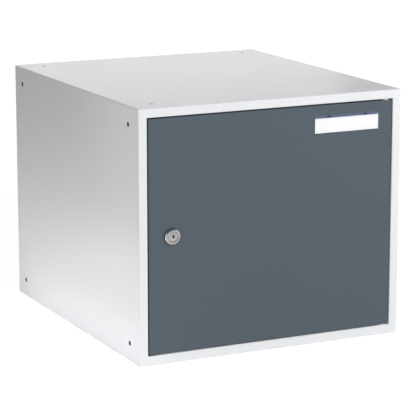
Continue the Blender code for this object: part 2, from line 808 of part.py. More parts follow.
def make_cam_washer(zinc):
    """The washer between the cam and its screw."""
    bore, rim = CAM_SCREW_DIAMETER / 2 + RUNNING, CAM_WASHER_DIAMETER / 2
    front = CAM_BACK + SEAM
    back = front + CAM_WASHER_THICKNESS
    outline = [(bore, front), (rim, front), (rim, back), (bore, back)]
    return turned("cam_washer", outline, lock_place(), ALONG_Y, zinc)


def make_cam_screw(zinc):
    """The screw that holds the cam on the plug."""
    shank, head = CAM_SCREW_DIAMETER / 2, CAM_SCREW_HEAD / 2
    seat = screw_seat()
    back = seat + CAM_SCREW_HEAD_HEIGHT
    chamfer = CAM_SCREW_HEAD_HEIGHT / 3
    outline = [
        (0, screw_tip()),
        (shank, screw_tip()),
        (shank, seat),
        (head, seat),
        (head, back - chamfer),
        (head - chamfer, back),
        (0, back),
    ]
    screw = turned("cam_screw", outline, lock_place(), ALONG_Y, zinc)
    slot = bmesh.new()
    low = (LOCK_X - CAM_SCREW_HEAD, back - CAM_SCREW_SLOT, MIDDLE - CAM_SCREW_SLOT / 2)
    high = (LOCK_X + CAM_SCREW_HEAD, back + OVERRUN, MIDDLE + CAM_SCREW_SLOT / 2)
    add_box(slot, low, high)
    combine(screw, add_cutter("cam_screw_slot", slot), "DIFFERENCE")
    return screw


def build_locker():
    """Makes every piece, and hangs the moving ones on their axes."""
    clear_scene()
    grey_paint = surface("light_grey_paint", (0.78, 0.79, 0.80), 0.45)
    blue_paint = surface("blue_grey_paint", (0.110, 0.128, 0.147), 0.45)
    steel = surface("bright_steel", (0.60, 0.60, 0.60), 0.30, 1.0)
    zinc = surface("zinc_plate", (0.66, 0.66, 0.64), 0.35, 1.0)
    chrome = surface("chrome_plate", (0.75, 0.75, 0.75), 0.15, 1.0)
    brass = surface("brass_wafer", (0.72, 0.55, 0.28), 0.30, 1.0)
    nylon = surface("white_nylon", (0.85, 0.85, 0.84), 0.50)
    rubber = surface("black_rubber", (0.02, 0.02, 0.02), 0.80)
    clear_plastic = surface("clear_plastic", (0.95, 0.96, 0.97), 0.05, 0.0, 1.0)
    card = surface("white_card", (0.93, 0.93, 0.93), 0.70)

    make_casing_wrap(grey_paint)
    make_back_panel(grey_paint)
    make_strike_angle(grey_paint)
    make_sill_buffer(rubber)
    door_pieces = [
        make_door_pan(blue_paint),
        make_door_stiffener(blue_paint),
        make_label_cover(clear_plastic),
        make_label_card(card),
        make_lock_housing(chrome),
        make_lock_nut(zinc),
    ]
    for end in ("upper", "lower"):
        make_hinge_plate(end, steel)
        make_pin(end, steel)
        make_washer(end, nylon)
        make_stop_buffer(end, rubber)
        door_pieces.append(make_pivot_bracket(end, steel))
    lock_pieces = [
        make_lock_cylinder(chrome),
        make_lock_cam(zinc),
        make_cam_washer(zinc),
        make_cam_screw(zinc),
    ]
    lock_pieces += [make_tumbler(index, brass) for index in range(TUMBLERS)]

    door_axis = add_axis("door_axis", (PIVOT_X, PIVOT_Y, 0))
    lock_axis = add_axis("lock_axis", lock_place(LOCK_FACE), door_axis)
    hang_on(door_axis, *door_pieces)
    hang_on(lock_axis, *lock_pieces)


build_locker()
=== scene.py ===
# %% [markdown]
# # A cube locker in powder-coated steel
# The real thing is folded sheet: one wrapped casing, one door that sits flush in the face frame on two
# pivot pins, a clear label holder and a cam lock. One block with lines drawn on it would look much the
# same from far away, but its door couldn't open. So every sheet and fitting is a piece of its own, which
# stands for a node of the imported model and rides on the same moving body.

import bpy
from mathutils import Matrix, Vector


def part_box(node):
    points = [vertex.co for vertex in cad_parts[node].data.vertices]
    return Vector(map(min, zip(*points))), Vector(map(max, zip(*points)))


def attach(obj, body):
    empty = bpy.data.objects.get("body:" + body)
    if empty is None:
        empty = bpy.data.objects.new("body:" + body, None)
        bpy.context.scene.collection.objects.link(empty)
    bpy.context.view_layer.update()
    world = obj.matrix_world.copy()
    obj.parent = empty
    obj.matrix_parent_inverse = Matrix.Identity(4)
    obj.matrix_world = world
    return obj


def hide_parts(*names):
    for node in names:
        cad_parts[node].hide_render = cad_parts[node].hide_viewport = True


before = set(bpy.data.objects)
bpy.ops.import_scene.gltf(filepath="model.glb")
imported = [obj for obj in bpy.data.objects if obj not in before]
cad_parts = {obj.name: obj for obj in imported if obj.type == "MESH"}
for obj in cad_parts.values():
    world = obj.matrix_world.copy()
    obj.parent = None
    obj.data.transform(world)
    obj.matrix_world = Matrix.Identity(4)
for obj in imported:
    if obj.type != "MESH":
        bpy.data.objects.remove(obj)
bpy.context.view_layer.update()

# %% [markdown]
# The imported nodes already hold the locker's sizes. They could be typed in once more, but then the looks
# would stop fitting as soon as the part changed, so they are read from the boxes of the nodes. Only what
# a box can't tell, such as the thickness of a sheet or the radius of a bend, is named here.

# %% Read the main sizes
import bmesh
import bpy
import math
from functools import partial
from mathutils import Matrix, Vector

MM = 0.001
CASING_LOW, CASING_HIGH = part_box("casing_wrap")
DOOR_LOW, DOOR_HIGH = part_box("door_pan")
FRONT, BACK = CASING_LOW.y, CASING_HIGH.y
HALF_WIDTH, HEIGHT = CASING_HIGH.x, CASING_HIGH.z
SEAM = 0.3 * MM
SHEET = 1.0 * MM
DOOR_SIDE_GAP = 1.5 * MM
FRAME_FACE = HALF_WIDTH - DOOR_HIGH.x - DOOR_SIDE_GAP
FRAME_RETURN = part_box("lower_hinge_plate")[1].y - FRONT
CASING_BEND = 1.8 * MM
BEND_STEPS = 8
print("face frame", round(FRAME_FACE / MM, 2), "mm wide,", round(FRAME_RETURN / MM, 2), "mm deep")

# %% [markdown]
# The locker is coated steel, bare metal and a little plastic. Each finish could be a painted picture,
# but a picture has seams and one fixed sharpness, so the finishes here are made of noise and arithmetic.
# Effects that finishes share become node groups with named inputs, which put out only heights, values
# and masks. Two helpers keep such trees short to write: one starts a group, and one adds a node with
# its settings and its links in a single call.

# %% Helpers for node groups
def new_group(name, inputs, outputs):
    """An empty shader node group with float inputs and outputs, and its two end nodes."""
    group = bpy.data.node_groups.new(name, "ShaderNodeTree")
    for label, value in inputs.items():
        socket = group.interface.new_socket(label, in_out="INPUT", socket_type="NodeSocketFloat")
        socket.default_value = value
    for label in outputs:
        group.interface.new_socket(label, in_out="OUTPUT", socket_type="NodeSocketFloat")
    return group, group.nodes.new("NodeGroupInput"), group.nodes.new("NodeGroupOutput")


def put(tree, kind, links=None, values=None, **settings):
    """Adds a node, sets its properties and its sockets, and links sockets to its inputs."""
    node = tree.nodes.new(kind)
    for name, value in settings.items():
        setattr(node, name, value)
    for name, value in (values or {}).items():
        node.inputs[name].default_value = value
    for name, socket in (links or {}).items():
        tree.links.new(socket, node.inputs[name])
    return node


print("node groups before the first effect:", len(bpy.data.node_groups))

# %% [markdown]
# The effects are sums and products of noise. Each Math node could be set up where it is used, but then
# the formula would get lost among sockets. So the few moves that come back get a name: arithmetic, the
# place on the object, noise, and noise that swings to both sides of nought.

# %% Arithmetic and noise
def math_node(tree, operation, first, second, clamp=False):
    """One step of arithmetic on sockets or plain numbers."""
    node = put(tree, "ShaderNodeMath", operation=operation, use_clamp=clamp)
    for index, term in enumerate((first, second)):
        if isinstance(term, (int, float)):
            node.inputs[index].default_value = term
        else:
            tree.links.new(term, node.inputs[index])
    return node.outputs[0]


def object_place(tree):
    """The place on the object, by which every pattern here is laid out."""
    return put(tree, "ShaderNodeTexCoord").outputs["Object"]


def noise_on(tree, vector, scale, detail=2.0, roughness=0.5):
    """Smooth noise, from 0 to 1, on a vector."""
    node = put(tree, "ShaderNodeTexNoise", {"Vector": vector}, {"Detail": detail, "Roughness": roughness})
    if isinstance(scale, (int, float)):
        node.inputs["Scale"].default_value = scale
    else:
        tree.links.new(scale, node.inputs["Scale"])
    return node.outputs["Fac"]


def swing(tree, noise, reach):
    """Noise turned into a swing to both sides of nought, as wide as the reach."""
    return math_node(tree, "MULTIPLY", math_node(tree, "SUBTRACT", noise, 0.5), reach)


def multiply(tree, first, second, clamp=False):
    """The product of two sockets or numbers."""
    return math_node(tree, "MULTIPLY", first, second, clamp)


print("patterns lie on Object coordinates, where one unit is", 1.0, "metre")

# %% [markdown]
# Powder coat melts and flows in the oven, and keeps a fine ripple called orange peel. The sheet under it
# isn't quite flat either. Both could be modelled, with millions of faces, but they are a small part of
# a millimetre high, so they are heights for a Bump node: fine noise for the ripple and slow noise for
# the sheet. The gloss wanders a little in the same way.

# %% Orange peel and slow waves in a sheet
WAVE_SCALE = 7.0
GLOSS_SCALE = 14.0


def make_peel_group():
    """Height of the coat in metres, and how much its gloss wanders."""
    inputs = {"Grain": 700.0, "Grain Height": 0.01 * MM, "Wave Height": 0.15 * MM, "Gloss Spread": 0.06}
    group, start, end = new_group("Powder Coat Flow", inputs, ("Height", "Gloss Shift"))
    place = object_place(group)
    ripple = noise_on(group, place, start.outputs["Grain"], detail=3.0)
    waves = noise_on(group, place, WAVE_SCALE, detail=0.0)
    wander = noise_on(group, place, GLOSS_SCALE, detail=4.0)
    fine = swing(group, ripple, start.outputs["Grain Height"])
    slow = swing(group, waves, start.outputs["Wave Height"])
    group.links.new(math_node(group, "ADD", fine, slow), end.inputs["Height"])
    group.links.new(swing(group, wander, start.outputs["Gloss Spread"]), end.inputs["Gloss Shift"])
    return group


PEEL = make_peel_group()
print("made", PEEL.name)

# %% [markdown]
# On a sharp edge the coat is thin and gets rubbed, so it looks a bit lighter there. The edges could be
# picked by hand, but the Bevel node finds them on any shape: where its rounded normal differs from the
# true one, there is an edge. Noise breaks the mask up, because wear is never even.

# %% Edges, where a coat is thin and gets rubbed
BEVEL_SAMPLES = 4
EDGE_GAIN = 6.0
WEAR_SCALE = 90.0
WEAR_FLOOR = 0.4


def make_edge_group():
    """A mask that is 1 on edges and bends and 0 on flats, broken up a little."""
    group, start, end = new_group("Rubbed Edge", {"Reach": 1.2 * MM, "Strength": 1.0}, ("Mask",))
    soft = put(group, "ShaderNodeBevel", {"Radius": start.outputs["Reach"]}, samples=BEVEL_SAMPLES)
    true = put(group, "ShaderNodeNewGeometry").outputs["Normal"]
    both = {0: soft.outputs["Normal"], 1: true}
    turn = put(group, "ShaderNodeVectorMath", both, operation="DOT_PRODUCT")
    bent = math_node(group, "SUBTRACT", 1.0, turn.outputs["Value"])
    wear = noise_on(group, object_place(group), WEAR_SCALE, detail=3.0)
    broken = math_node(group, "ADD", wear, WEAR_FLOOR)
    mask = multiply(group, multiply(group, bent, EDGE_GAIN, clamp=True), broken)
    group.links.new(multiply(group, mask, start.outputs["Strength"], True), end.inputs["Mask"])
    return group


EDGE = make_edge_group()
print("made", EDGE.name)

# %% [markdown]
# Dust lies on what looks up, such as the top of the casing. It could be scattered as tiny grains, but
# from here it is only a faint change of colour, so it is a mask: how far the normal points up, times
# soft patches with a few specks in them.

# %% Dust that settles on what faces up
PATCH_SCALE = 25.0
SPECK_SCALE = 1500.0
SPECK_LIMIT = 0.72
FILM_FLOOR = 0.4


def make_dust_group():
    """A faint mask on faces that look up, in soft patches."""
    group, start, end = new_group("Settled Dust", {"Amount": 0.1}, ("Mask",))
    normal = put(group, "ShaderNodeNewGeometry").outputs["Normal"]
    up = put(group, "ShaderNodeSeparateXYZ", {"Vector": normal}).outputs["Z"]
    place = object_place(group)
    film = noise_on(group, place, PATCH_SCALE, detail=6.0, roughness=0.6)
    patches = multiply(group, film, up, clamp=True)
    bits = noise_on(group, place, SPECK_SCALE, detail=1.0)
    specks = math_node(group, "GREATER_THAN", bits, SPECK_LIMIT)
    both = multiply(group, patches, math_node(group, "ADD", specks, FILM_FLOOR))
    group.links.new(multiply(group, both, start.outputs["Amount"], True), end.inputs["Mask"])
    return group


DUST = make_dust_group()
print("made", DUST.name)

# %% [markdown]
# Every finish starts as one Principled BSDF with a colour, a gloss and a metalness. A whole material
# could be a group, but what leaves Blender is read from the shader itself, so the shader stays in the
# material and only masks and heights come from groups. Heights go to a Bump node with a distance of one
# metre, so that a height in a group is a real height.

# %% A material and what feeds it
# A Mix node has sockets of the same name for values and for colours, so its colour sockets are numbers.
MIX_FIRST, MIX_SECOND, MIX_RESULT = 6, 7, 2


def plain_material(name, colour, roughness, metallic=0.0):
    """A material with one Principled BSDF, and that shader."""
    material = bpy.data.materials.new(name)
    material.use_nodes = True
    shader = material.node_tree.nodes["Principled BSDF"]
    shader.inputs["Base Color"].default_value = (*colour, 1.0)
    shader.inputs["Roughness"].default_value = roughness
    shader.inputs["Metallic"].default_value = metallic
    material.diffuse_color = (*colour, 1.0)
    return material, shader


def add_group(tree, group, **values):
    """Places a node group with its own values."""
    named = {label.replace("_", " "): value for label, value in values.items()}
    return put(tree, "ShaderNodeGroup", values=named, node_tree=group)


def blend_colour(tree, mask, first, second):
    """Mixes two colours by a mask. The first may be a socket."""
    node = put(tree, "ShaderNodeMix", {"Factor": mask}, data_type="RGBA")
    if isinstance(first, tuple):
        node.inputs[MIX_FIRST].default_value = (*first, 1.0)
    else:
        tree.links.new(first, node.inputs[MIX_FIRST])
    node.inputs[MIX_SECOND].default_value = (*second, 1.0)
    return node.outputs[MIX_RESULT]


def bump_from(tree, shader, height):
    """Feeds a height in metres to the shader's normal."""
    bump = put(tree, "ShaderNodeBump", {"Height": height}, {"Strength": 1.0, "Distance": 1.0})
    tree.links.new(bump.outputs["Normal"], shader.inputs["Normal"])


print("materials before the first finish:", len(bpy.data.materials))

# %% [markdown]
# The casing is light grey and the door blue grey, in the same kind of coat. Two materials could be drawn
# by hand, but one function that makes both keeps them alike: each takes its own colours, gloss and
# waviness, and the three groups give it ripple, rubbed edges and dust.

# %% Paint
COAT_WEAR = 0.35
COAT_DUST = 0.10
DUST_COLOUR = (0.60, 0.60, 0.60)
LIGHT_GREY = (0.775, 0.788, 0.806)
LIGHT_GREY_WORN = (0.88, 0.89, 0.90)
BLUE_GREY = (0.086, 0.107, 0.127)
BLUE_GREY_WORN = (0.12, 0.145, 0.17)
GRAIN_HEIGHT = 0.012 * MM


def make_paint(name, colour, worn, roughness, shine, wave_height):
    """Powder coat: orange peel, wandering gloss, lighter edges and a little dust."""
    material, shader = plain_material(name, colour, roughness)
    shader.inputs["Specular IOR Level"].default_value = shine
    tree = material.node_tree
    peel = add_group(tree, PEEL, Grain_Height=GRAIN_HEIGHT, Wave_Height=wave_height)
    edge = add_group(tree, EDGE, Strength=COAT_WEAR)
    dust = add_group(tree, DUST, Amount=COAT_DUST)
    painted = blend_colour(tree, edge.outputs["Mask"], colour, worn)
    dusty = blend_colour(tree, dust.outputs["Mask"], painted, DUST_COLOUR)
    tree.links.new(dusty, shader.inputs["Base Color"])
    gloss = math_node(tree, "ADD", peel.outputs["Gloss Shift"], roughness)
    tree.links.new(math_node(tree, "ADD", gloss, dust.outputs["Mask"], True), shader.inputs["Roughness"])
    bump_from(tree, shader, peel.outputs["Height"])
    return material


casing_coat = {"roughness": 0.38, "shine": 0.5, "wave_height": 0.20 * MM}
door_coat = {"roughness": 0.60, "shine": 0.3, "wave_height": 0.10 * MM}
grey_paint = make_paint("light_grey_coat", LIGHT_GREY, LIGHT_GREY_WORN, **casing_coat)
blue_paint = make_paint("blue_grey_coat", BLUE_GREY, BLUE_GREY_WORN, **door_coat)
print("paints:", grey_paint.name, blue_paint.name)

# %% [markdown]
# The lock and the hinge parts are bare metal. A face turned on a lathe carries fine rings round its
# axis, and plated parts have a cloudy, patchy gloss with faint scratches. Real grooves would need far
# too many faces, so both are groups that put out a height or a mask. The rings need to know the axis,
# which the group takes as two inputs, because a turned face lies in X and Z here.

# %% Turned rings and cloudy plating
RING_DRIFT = 0.37
CELL_SCALE = 420.0
MIST_SCALE = 180.0
SCRATCH_SCALE = 260.0
SCRATCH_STRETCH = 14.0


def make_ring_group():
    """Fine grooves round an axis that runs along Y."""
    inputs = {"Axis X": 0.0, "Axis Z": 0.0, "Grooves": 9000.0, "Groove Height": 0.002 * MM}
    group, start, end = new_group("Turned Rings", inputs, ("Height",))
    parts = put(group, "ShaderNodeSeparateXYZ", {"Vector": object_place(group)})
    x = math_node(group, "SUBTRACT", parts.outputs["X"], start.outputs["Axis X"])
    z = math_node(group, "SUBTRACT", parts.outputs["Z"], start.outputs["Axis Z"])
    squares = math_node(group, "ADD", multiply(group, x, x), multiply(group, z, z))
    phase = multiply(group, math_node(group, "SQRT", squares, 0.0), start.outputs["Grooves"])
    ring = put(group, "ShaderNodeCombineXYZ", {"X": phase, "Y": multiply(group, phase, RING_DRIFT)})
    uneven = noise_on(group, ring.outputs[0], 1.0)
    group.links.new(multiply(group, uneven, start.outputs["Groove Height"]), end.inputs["Height"])
    return group


def make_plate_group():
    """Cloudy patches and fine scratches for plated steel."""
    inputs = {"Cloud": 0.2, "Scratch": 0.004 * MM}
    group, start, end = new_group("Cloudy Plating", inputs, ("Cloud", "Height"))
    place = object_place(group)
    scale = {"Scale": CELL_SCALE}
    cells = put(group, "ShaderNodeTexVoronoi", {"Vector": place}, scale, feature="SMOOTH_F1")
    mist = noise_on(group, place, MIST_SCALE, detail=5.0, roughness=0.65)
    both = multiply(group, math_node(group, "ADD", cells.outputs["Distance"], mist), 0.5)
    group.links.new(multiply(group, both, start.outputs["Cloud"]), end.inputs["Cloud"])
    stretch = put(group, "ShaderNodeMapping", {"Vector": place}, {"Scale": (1.0, 1.0, SCRATCH_STRETCH)})
    lines = noise_on(group, stretch.outputs[0], SCRATCH_SCALE, detail=3.0)
    group.links.new(multiply(group, lines, start.outputs["Scratch"]), end.inputs["Height"])
    return group


RINGS = make_ring_group()
PLATING = make_plate_group()
print("made", RINGS.name, "and", PLATING.name)

# %% [markdown]
# The lock is nickel plated, its nut and cam are zinc plated, the pivots are oiled steel and the wafers
# are brass. One metal in four colours would do from far away, but each has a gloss and a cloudiness of
# its own, so one function makes all of them from those values. Only the lock is turned, so only it gets
# the rings. Deep in the key slot a near-black metal paints in the shade of the slot, which keeps it black.

# %% Metal finishes
RUBBED_REACH = 0.4 * MM
RUBBED_STRENGTH = 0.5
RUBBED_SHINE = 1.2


def make_metal(name, colour, dull, roughness, cloud, axis=None):
    """Bare or plated metal, with turned rings where an axis is given."""
    material, shader = plain_material(name, colour, roughness, 1.0)
    tree = material.node_tree
    plating = add_group(tree, PLATING, Cloud=cloud)
    edge = add_group(tree, EDGE, Reach=RUBBED_REACH, Strength=RUBBED_STRENGTH)
    clouded = blend_colour(tree, plating.outputs["Cloud"], colour, dull)
    bright = tuple(min(1.0, part * RUBBED_SHINE) for part in colour)
    tree.links.new(blend_colour(tree, edge.outputs["Mask"], clouded, bright), shader.inputs["Base Color"])
    gloss = math_node(tree, "ADD", plating.outputs["Cloud"], roughness, True)
    tree.links.new(gloss, shader.inputs["Roughness"])
    height = plating.outputs["Height"]
    if axis:
        rings = add_group(tree, RINGS, Axis_X=axis[0], Axis_Z=axis[1])
        height = math_node(tree, "ADD", height, rings.outputs["Height"])
    bump_from(tree, shader, height)
    return material


LOCK_LOW, LOCK_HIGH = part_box("lock_housing")
LOCK_X = (LOCK_LOW.x + LOCK_HIGH.x) / 2
LOCK_Z = (LOCK_LOW.z + LOCK_HIGH.z) / 2
turned = {"roughness": 0.16, "cloud": 0.12, "axis": (LOCK_X, LOCK_Z)}
lock_metal = make_metal("nickel_plate", (0.50, 0.50, 0.495), (0.38, 0.38, 0.375), **turned)
# A near-black metal that paints in the shade deep in the key slot.
slot_shade_metal = make_metal("slot_steel", (0.015, 0.015, 0.015), (0.01, 0.01, 0.01), roughness=0.60, cloud=0.30)
zinc = make_metal("zinc_plate", (0.62, 0.63, 0.62), (0.45, 0.46, 0.44), roughness=0.30, cloud=0.35)
steel = make_metal("oiled_steel", (0.52, 0.52, 0.51), (0.30, 0.29, 0.28), roughness=0.28, cloud=0.30)
brass = make_metal("stamped_brass", (0.66, 0.48, 0.22), (0.45, 0.31, 0.14), roughness=0.30, cloud=0.30)
print("metals:", lock_metal.name, slot_shade_metal.name, zinc.name, steel.name, brass.name)

# %% [markdown]
# Nylon, rubber and card are matt, and the label holder is clear. The holder could be glass with real
# refraction, but a thin flat window hardly bends the light, and its shadow would darken the card. So it
# uses a low Alpha, and lamps reach the card behind it. Its slopes get a bluish colour that paints in the
# door's colour refracted in them, and its clips a near-black colour that paints in the shade of their slots.

# %% Plastics, rubber and card
PATCHES_IN_GRAIN = 12
MOULDED_GLOSS_SPREAD = 0.12
FINE_HEIGHT = 0.01 * MM
MOULD_GRAIN = 120.0


def make_moulded(name, colour, other, roughness, grain, height=FINE_HEIGHT, alpha=1.0):
    """A moulded or pressed material with a fine grain and slightly uneven colour."""
    material, shader = plain_material(name, colour, roughness)
    tree = material.node_tree
    place = object_place(tree)
    patches = noise_on(tree, place, grain / PATCHES_IN_GRAIN, detail=4.0)
    tree.links.new(blend_colour(tree, patches, colour, other), shader.inputs["Base Color"])
    spread = swing(tree, patches, MOULDED_GLOSS_SPREAD)
    tree.links.new(math_node(tree, "ADD", spread, roughness, True), shader.inputs["Roughness"])
    fine = noise_on(tree, place, grain, detail=3.0)
    bump_from(tree, shader, multiply(tree, fine, height))
    shader.inputs["Alpha"].default_value = alpha
    return material


matt = {"roughness": 0.75, "grain": 1600.0, "height": 0.03 * MM}
window = {"roughness": 0.10, "grain": MOULD_GRAIN, "alpha": 0.04}
slopes = {"roughness": 0.12, "grain": MOULD_GRAIN, "alpha": 0.40}
clips = {"roughness": 0.30, "grain": MOULD_GRAIN, "alpha": 0.80}
nylon = make_moulded("white_nylon", (0.80, 0.80, 0.78), (0.86, 0.86, 0.85), roughness=0.45, grain=900.0)
rubber = make_moulded("black_rubber", (0.012, 0.012, 0.012), (0.03, 0.03, 0.03), **matt)
card = make_moulded("white_card", (0.90, 0.90, 0.90), (0.93, 0.93, 0.925), roughness=0.70, grain=2400.0)
clear = make_moulded("clear_window", (0.95, 0.96, 0.98), (0.97, 0.98, 1.0), **window)
# A bluish colour on the holder's slopes: painted refraction of the door's colour through them.
painted_slope_refraction = make_moulded("clear_slopes", (0.17, 0.22, 0.40), (0.19, 0.24, 0.43), **slopes)
# A near-black colour on the clips: painted shade of the dark slots behind them.
shaded = make_moulded("clear_feet", (0.035, 0.035, 0.045), (0.05, 0.05, 0.06), **clips)
print("other finishes:", nylon.name, rubber.name, card.name, clear.name, painted_slope_refraction.name, shaded.name)

# %% [markdown]
# Most of the locker is folded sheet. A flat plane with Solidify and Bevel modifiers could stand in for
# it, but sheet is easiest to model the way it is made: draw the fold line of its section, round its
# corners with the bend radius, and lay that strip along or around the piece. A strip here is a row of
# pairs of points, one on each face of the sheet, so every bend has its true inner and outer radius.

# %% Folding a strip
SAME_POINT = SEAM / 1000


def bend_line(corners, radius):
    """Points and left-hand normals along a line whose corners are arcs."""
    points = [Vector(corner) for corner in corners]
    ways = [(b - a).normalized() for a, b in zip(points, points[1:])]
    normals = [Vector((-way.y, way.x)) for way in ways]
    line = [(points[0], normals[0])]
    for index in range(1, len(points) - 1):
        before, after = ways[index - 1], ways[index]
        side = math.copysign(1, before.x * after.y - before.y * after.x)
        angle = before.angle(after)
        start = points[index] - before * radius * math.tan(angle / 2)
        centre = start + normals[index - 1] * side * radius
        for step in range(BEND_STEPS + 1):
            normal = Matrix.Rotation(side * angle * step / BEND_STEPS, 2) @ normals[index - 1]
            line.append((centre - normal * side * radius, normal))
    line.append((points[-1], normals[-1]))
    return line


def fold_strip(corners, thickness, outer_radius):
    """The two faces of a sheet, folded along a line through its middle."""
    half = thickness / 2
    line = bend_line(corners, outer_radius - half)
    return [(point + normal * half, point - normal * half) for point, normal in line]


def lay_strip(strip, places, faced=False):
    """A closed sheet: the strip set at each place right round. A faced one gets a flat sheet across."""
    bm = bmesh.new()
    sides = [[[bm.verts.new(place(pair[side])) for place in places] for pair in strip] for side in (0, 1)]
    near, far = sides
    count = len(places)
    for column in range(count):
        after = (column + 1) % count
        for side in sides:
            for this_row, next_row in zip(side, side[1:]):
                bm.faces.new((this_row[column], this_row[after], next_row[after], next_row[column]))
        for row in (len(strip) - 1,) if faced else (0, len(strip) - 1):
            bm.faces.new((near[row][column], near[row][after], far[row][after], far[row][column]))
    if faced:
        for side in sides:
            bm.faces.new(side[0])
    bmesh.ops.remove_doubles(bm, verts=bm.verts, dist=SAME_POINT)
    return bm


one_fold = fold_strip([(0, 0), (0, FRAME_FACE), (FRAME_FACE, FRAME_FACE)], SHEET, CASING_BEND)
print("a strip with one fold has", len(one_fold), "pairs of points")

# %% [markdown]
# The casing, the back sheet and the door are such strips taken right round a rectangle. A curve with a
# profile could do that, but it pinches the inside of tight corners. So each point of the strip is placed
# by rule: near the edge it follows a rounded corner, as a fold does, and further in it keeps a sharp
# mitre, as the corners of the locker's face frame do.

# %% Going round a frame
def corner_point(point, corner, inward, radius, angle, face):
    """A strip's point at a rounded corner: its X is the inset from the edge, its Y is the depth."""
    inset, depth = point
    if inset < radius:
        x = corner[0] + inward[0] * radius + (radius - inset) * math.cos(angle)
        z = corner[1] + inward[1] * radius + (radius - inset) * math.sin(angle)
    else:
        x, z = corner[0] + inward[0] * inset, corner[1] + inward[1] * inset
    return Vector((x, face + depth, z))


def places_round(half_width, low, high, radius, face):
    """The places right round an upright rectangle with rounded corners."""
    quarter = math.pi / 2
    corners = (
        ((-half_width, high), (1, -1), math.pi),
        ((half_width, high), (-1, -1), quarter),
        ((half_width, low), (-1, 1), 0),
        ((-half_width, low), (1, 1), -quarter),
    )
    places = []
    for corner, inward, start in corners:
        shared = {"corner": corner, "inward": inward, "radius": radius, "face": face}
        for step in range(BEND_STEPS + 1):
            places.append(partial(corner_point, angle=start - quarter * step / BEND_STEPS, **shared))
    return places


print("a frame has", len(places_round(HALF_WIDTH, 0, HEIGHT, CASING_BEND, FRONT)), "places round it")

# %% [markdown]
# A piece is cut and its edges are broken before it is fitted. Sheet and turned parts have no razor
# edges: a narrow rounding catches a line of light. Booleans and bevels could stay live as modifiers, but the
# next cut and the export both need a plain mesh, so each one is baked in at once.

# %% Cutting and rounding a piece
SMOOTH_ANGLE = math.radians(35)
EDGE_SEGMENTS = 2


def new_object(name, bm, material=None):
    """Turns a bmesh into an object with outward faces."""
    bmesh.ops.recalc_face_normals(bm, faces=bm.faces)
    mesh = bpy.data.meshes.new(name)
    bm.to_mesh(mesh)
    bm.free()
    if material:
        mesh.materials.append(material)
    made = bpy.data.objects.new(name, mesh)
    bpy.context.scene.collection.objects.link(made)
    return made


def bake_modifiers(made):
    """Replaces an object's mesh by what its modifiers give."""
    graph = bpy.context.evaluated_depsgraph_get()
    baked = bpy.data.meshes.new_from_object(made.evaluated_get(graph))
    made.modifiers.clear()
    made.data = baked


def cut(made, bm, operation="DIFFERENCE"):
    """Cuts a shape out of a piece, or joins it on, at once."""
    other = new_object(made.name + "_cutter", bm)
    modifier = made.modifiers.new("Cut", "BOOLEAN")
    modifier.operation, modifier.solver, modifier.object = operation, "EXACT", other
    bake_modifiers(made)
    bpy.data.objects.remove(other)


def round_edges(made, width):
    """Rounds the sharp edges of a piece."""
    bevel = made.modifiers.new("Edges", "BEVEL")
    bevel.width, bevel.segments, bevel.limit_method = width, EDGE_SEGMENTS, "ANGLE"
    bevel.angle_limit = SMOOTH_ANGLE
    bevel.use_clamp_overlap = True
    bevel.harden_normals = False
    bake_modifiers(made)


print("edges that turn by more than", round(math.degrees(SMOOTH_ANGLE)), "degrees stay sharp")

# %% [markdown]
# At last a piece is fitted: it gets smooth shading with normals weighted by the area of the faces, so
# that flats look flat and roundings soft, then the body that it rides on and the imported nodes whose
# place it takes. These lines could be written out for each piece, but one function can't forget a step.

# %% Seating a piece
finished = []


def paint_where(made, material, test):
    """Gives a second material to the faces that pass a test."""
    made.data.materials.append(material)
    index = len(made.data.materials) - 1
    for face in made.data.polygons:
        if test(face.center):
            face.material_index = index


def seat(made, body, slot, *nodes):
    """Last steps for a piece: smooth shading, its body and the nodes it stands for. The slot is not used."""
    made.data.shade_smooth()
    made.data.set_sharp_from_angle(angle=SMOOTH_ANGLE)
    weights = made.modifiers.new("Flats", "WEIGHTED_NORMAL")
    weights.keep_sharp = True
    bake_modifiers(made)
    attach(made, body)
    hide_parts(*nodes)
    finished.append(made)
    print(made.name, "on", body, "with", len(made.data.polygons), "faces")


print("pieces seated so far:", len(finished))

# %% [markdown]
# Bolt holes, slots and clips are round bars and small blocks. Blender's operators could add each as an
# object, but they need a selection and are slow, so a bar or a block goes straight into a bmesh. One
# bmesh then holds all the cutters of a piece, and one Boolean cuts them.

# %% Bars and blocks
BAR_SIDES = 48


def add_bar(bm, centre, along, diameter, length, sides=BAR_SIDES):
    """A round bar along X, Y or Z."""
    turns = {"X": Matrix.Rotation(math.pi / 2, 4, "Y"), "Y": Matrix.Rotation(-math.pi / 2, 4, "X")}
    matrix = Matrix.Translation(centre) @ turns.get(along, Matrix.Identity(4))
    size = {"radius1": diameter / 2, "radius2": diameter / 2, "depth": length}
    bmesh.ops.create_cone(bm, cap_ends=True, segments=sides, matrix=matrix, **size)


def add_block(bm, low, high):
    """A block between two corners."""
    size = [b - a for a, b in zip(low, high)]
    centre = [(a + b) / 2 for a, b in zip(low, high)]
    bmesh.ops.create_cube(bm, size=1.0, matrix=Matrix.Translation(centre) @ Matrix.Diagonal((*size, 1.0)))


print("a bar has", BAR_SIDES, "sides if nothing else is said")

# %% [markdown]
# The casing is the biggest piece: one sheet goes round all four sides, and its front edge is folded in
# twice, so that the stiles and rails of the face frame are part of the same sheet. Four separate walls
# would be quicker to place, but they would show seams that the photo doesn't have. The fold line below
# is the front edge seen from above, from the back of a side to the end of the return.

# %% The casing
BOLT_HOLE = 7.0 * MM
HOLE_FROM_FLOOR = 25.0 * MM
HOLE_FROM_SIDE = 34.0 * MM
HOLE_FROM_FRONT = 33.0 * MM
HOLE_FROM_BACK = 28.5 * MM
PIN_HOLE = 4.2 * MM
CUT_LENGTH = 6.0 * MM


def add_pin_holes(bm):
    """The two holes for the pivot pins, which go through the casing and the door."""
    for node in ("upper_pin", "lower_pin"):
        low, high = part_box(node)
        add_bar(bm, (low + high) / 2, "Z", PIN_HOLE, high.z - low.z)


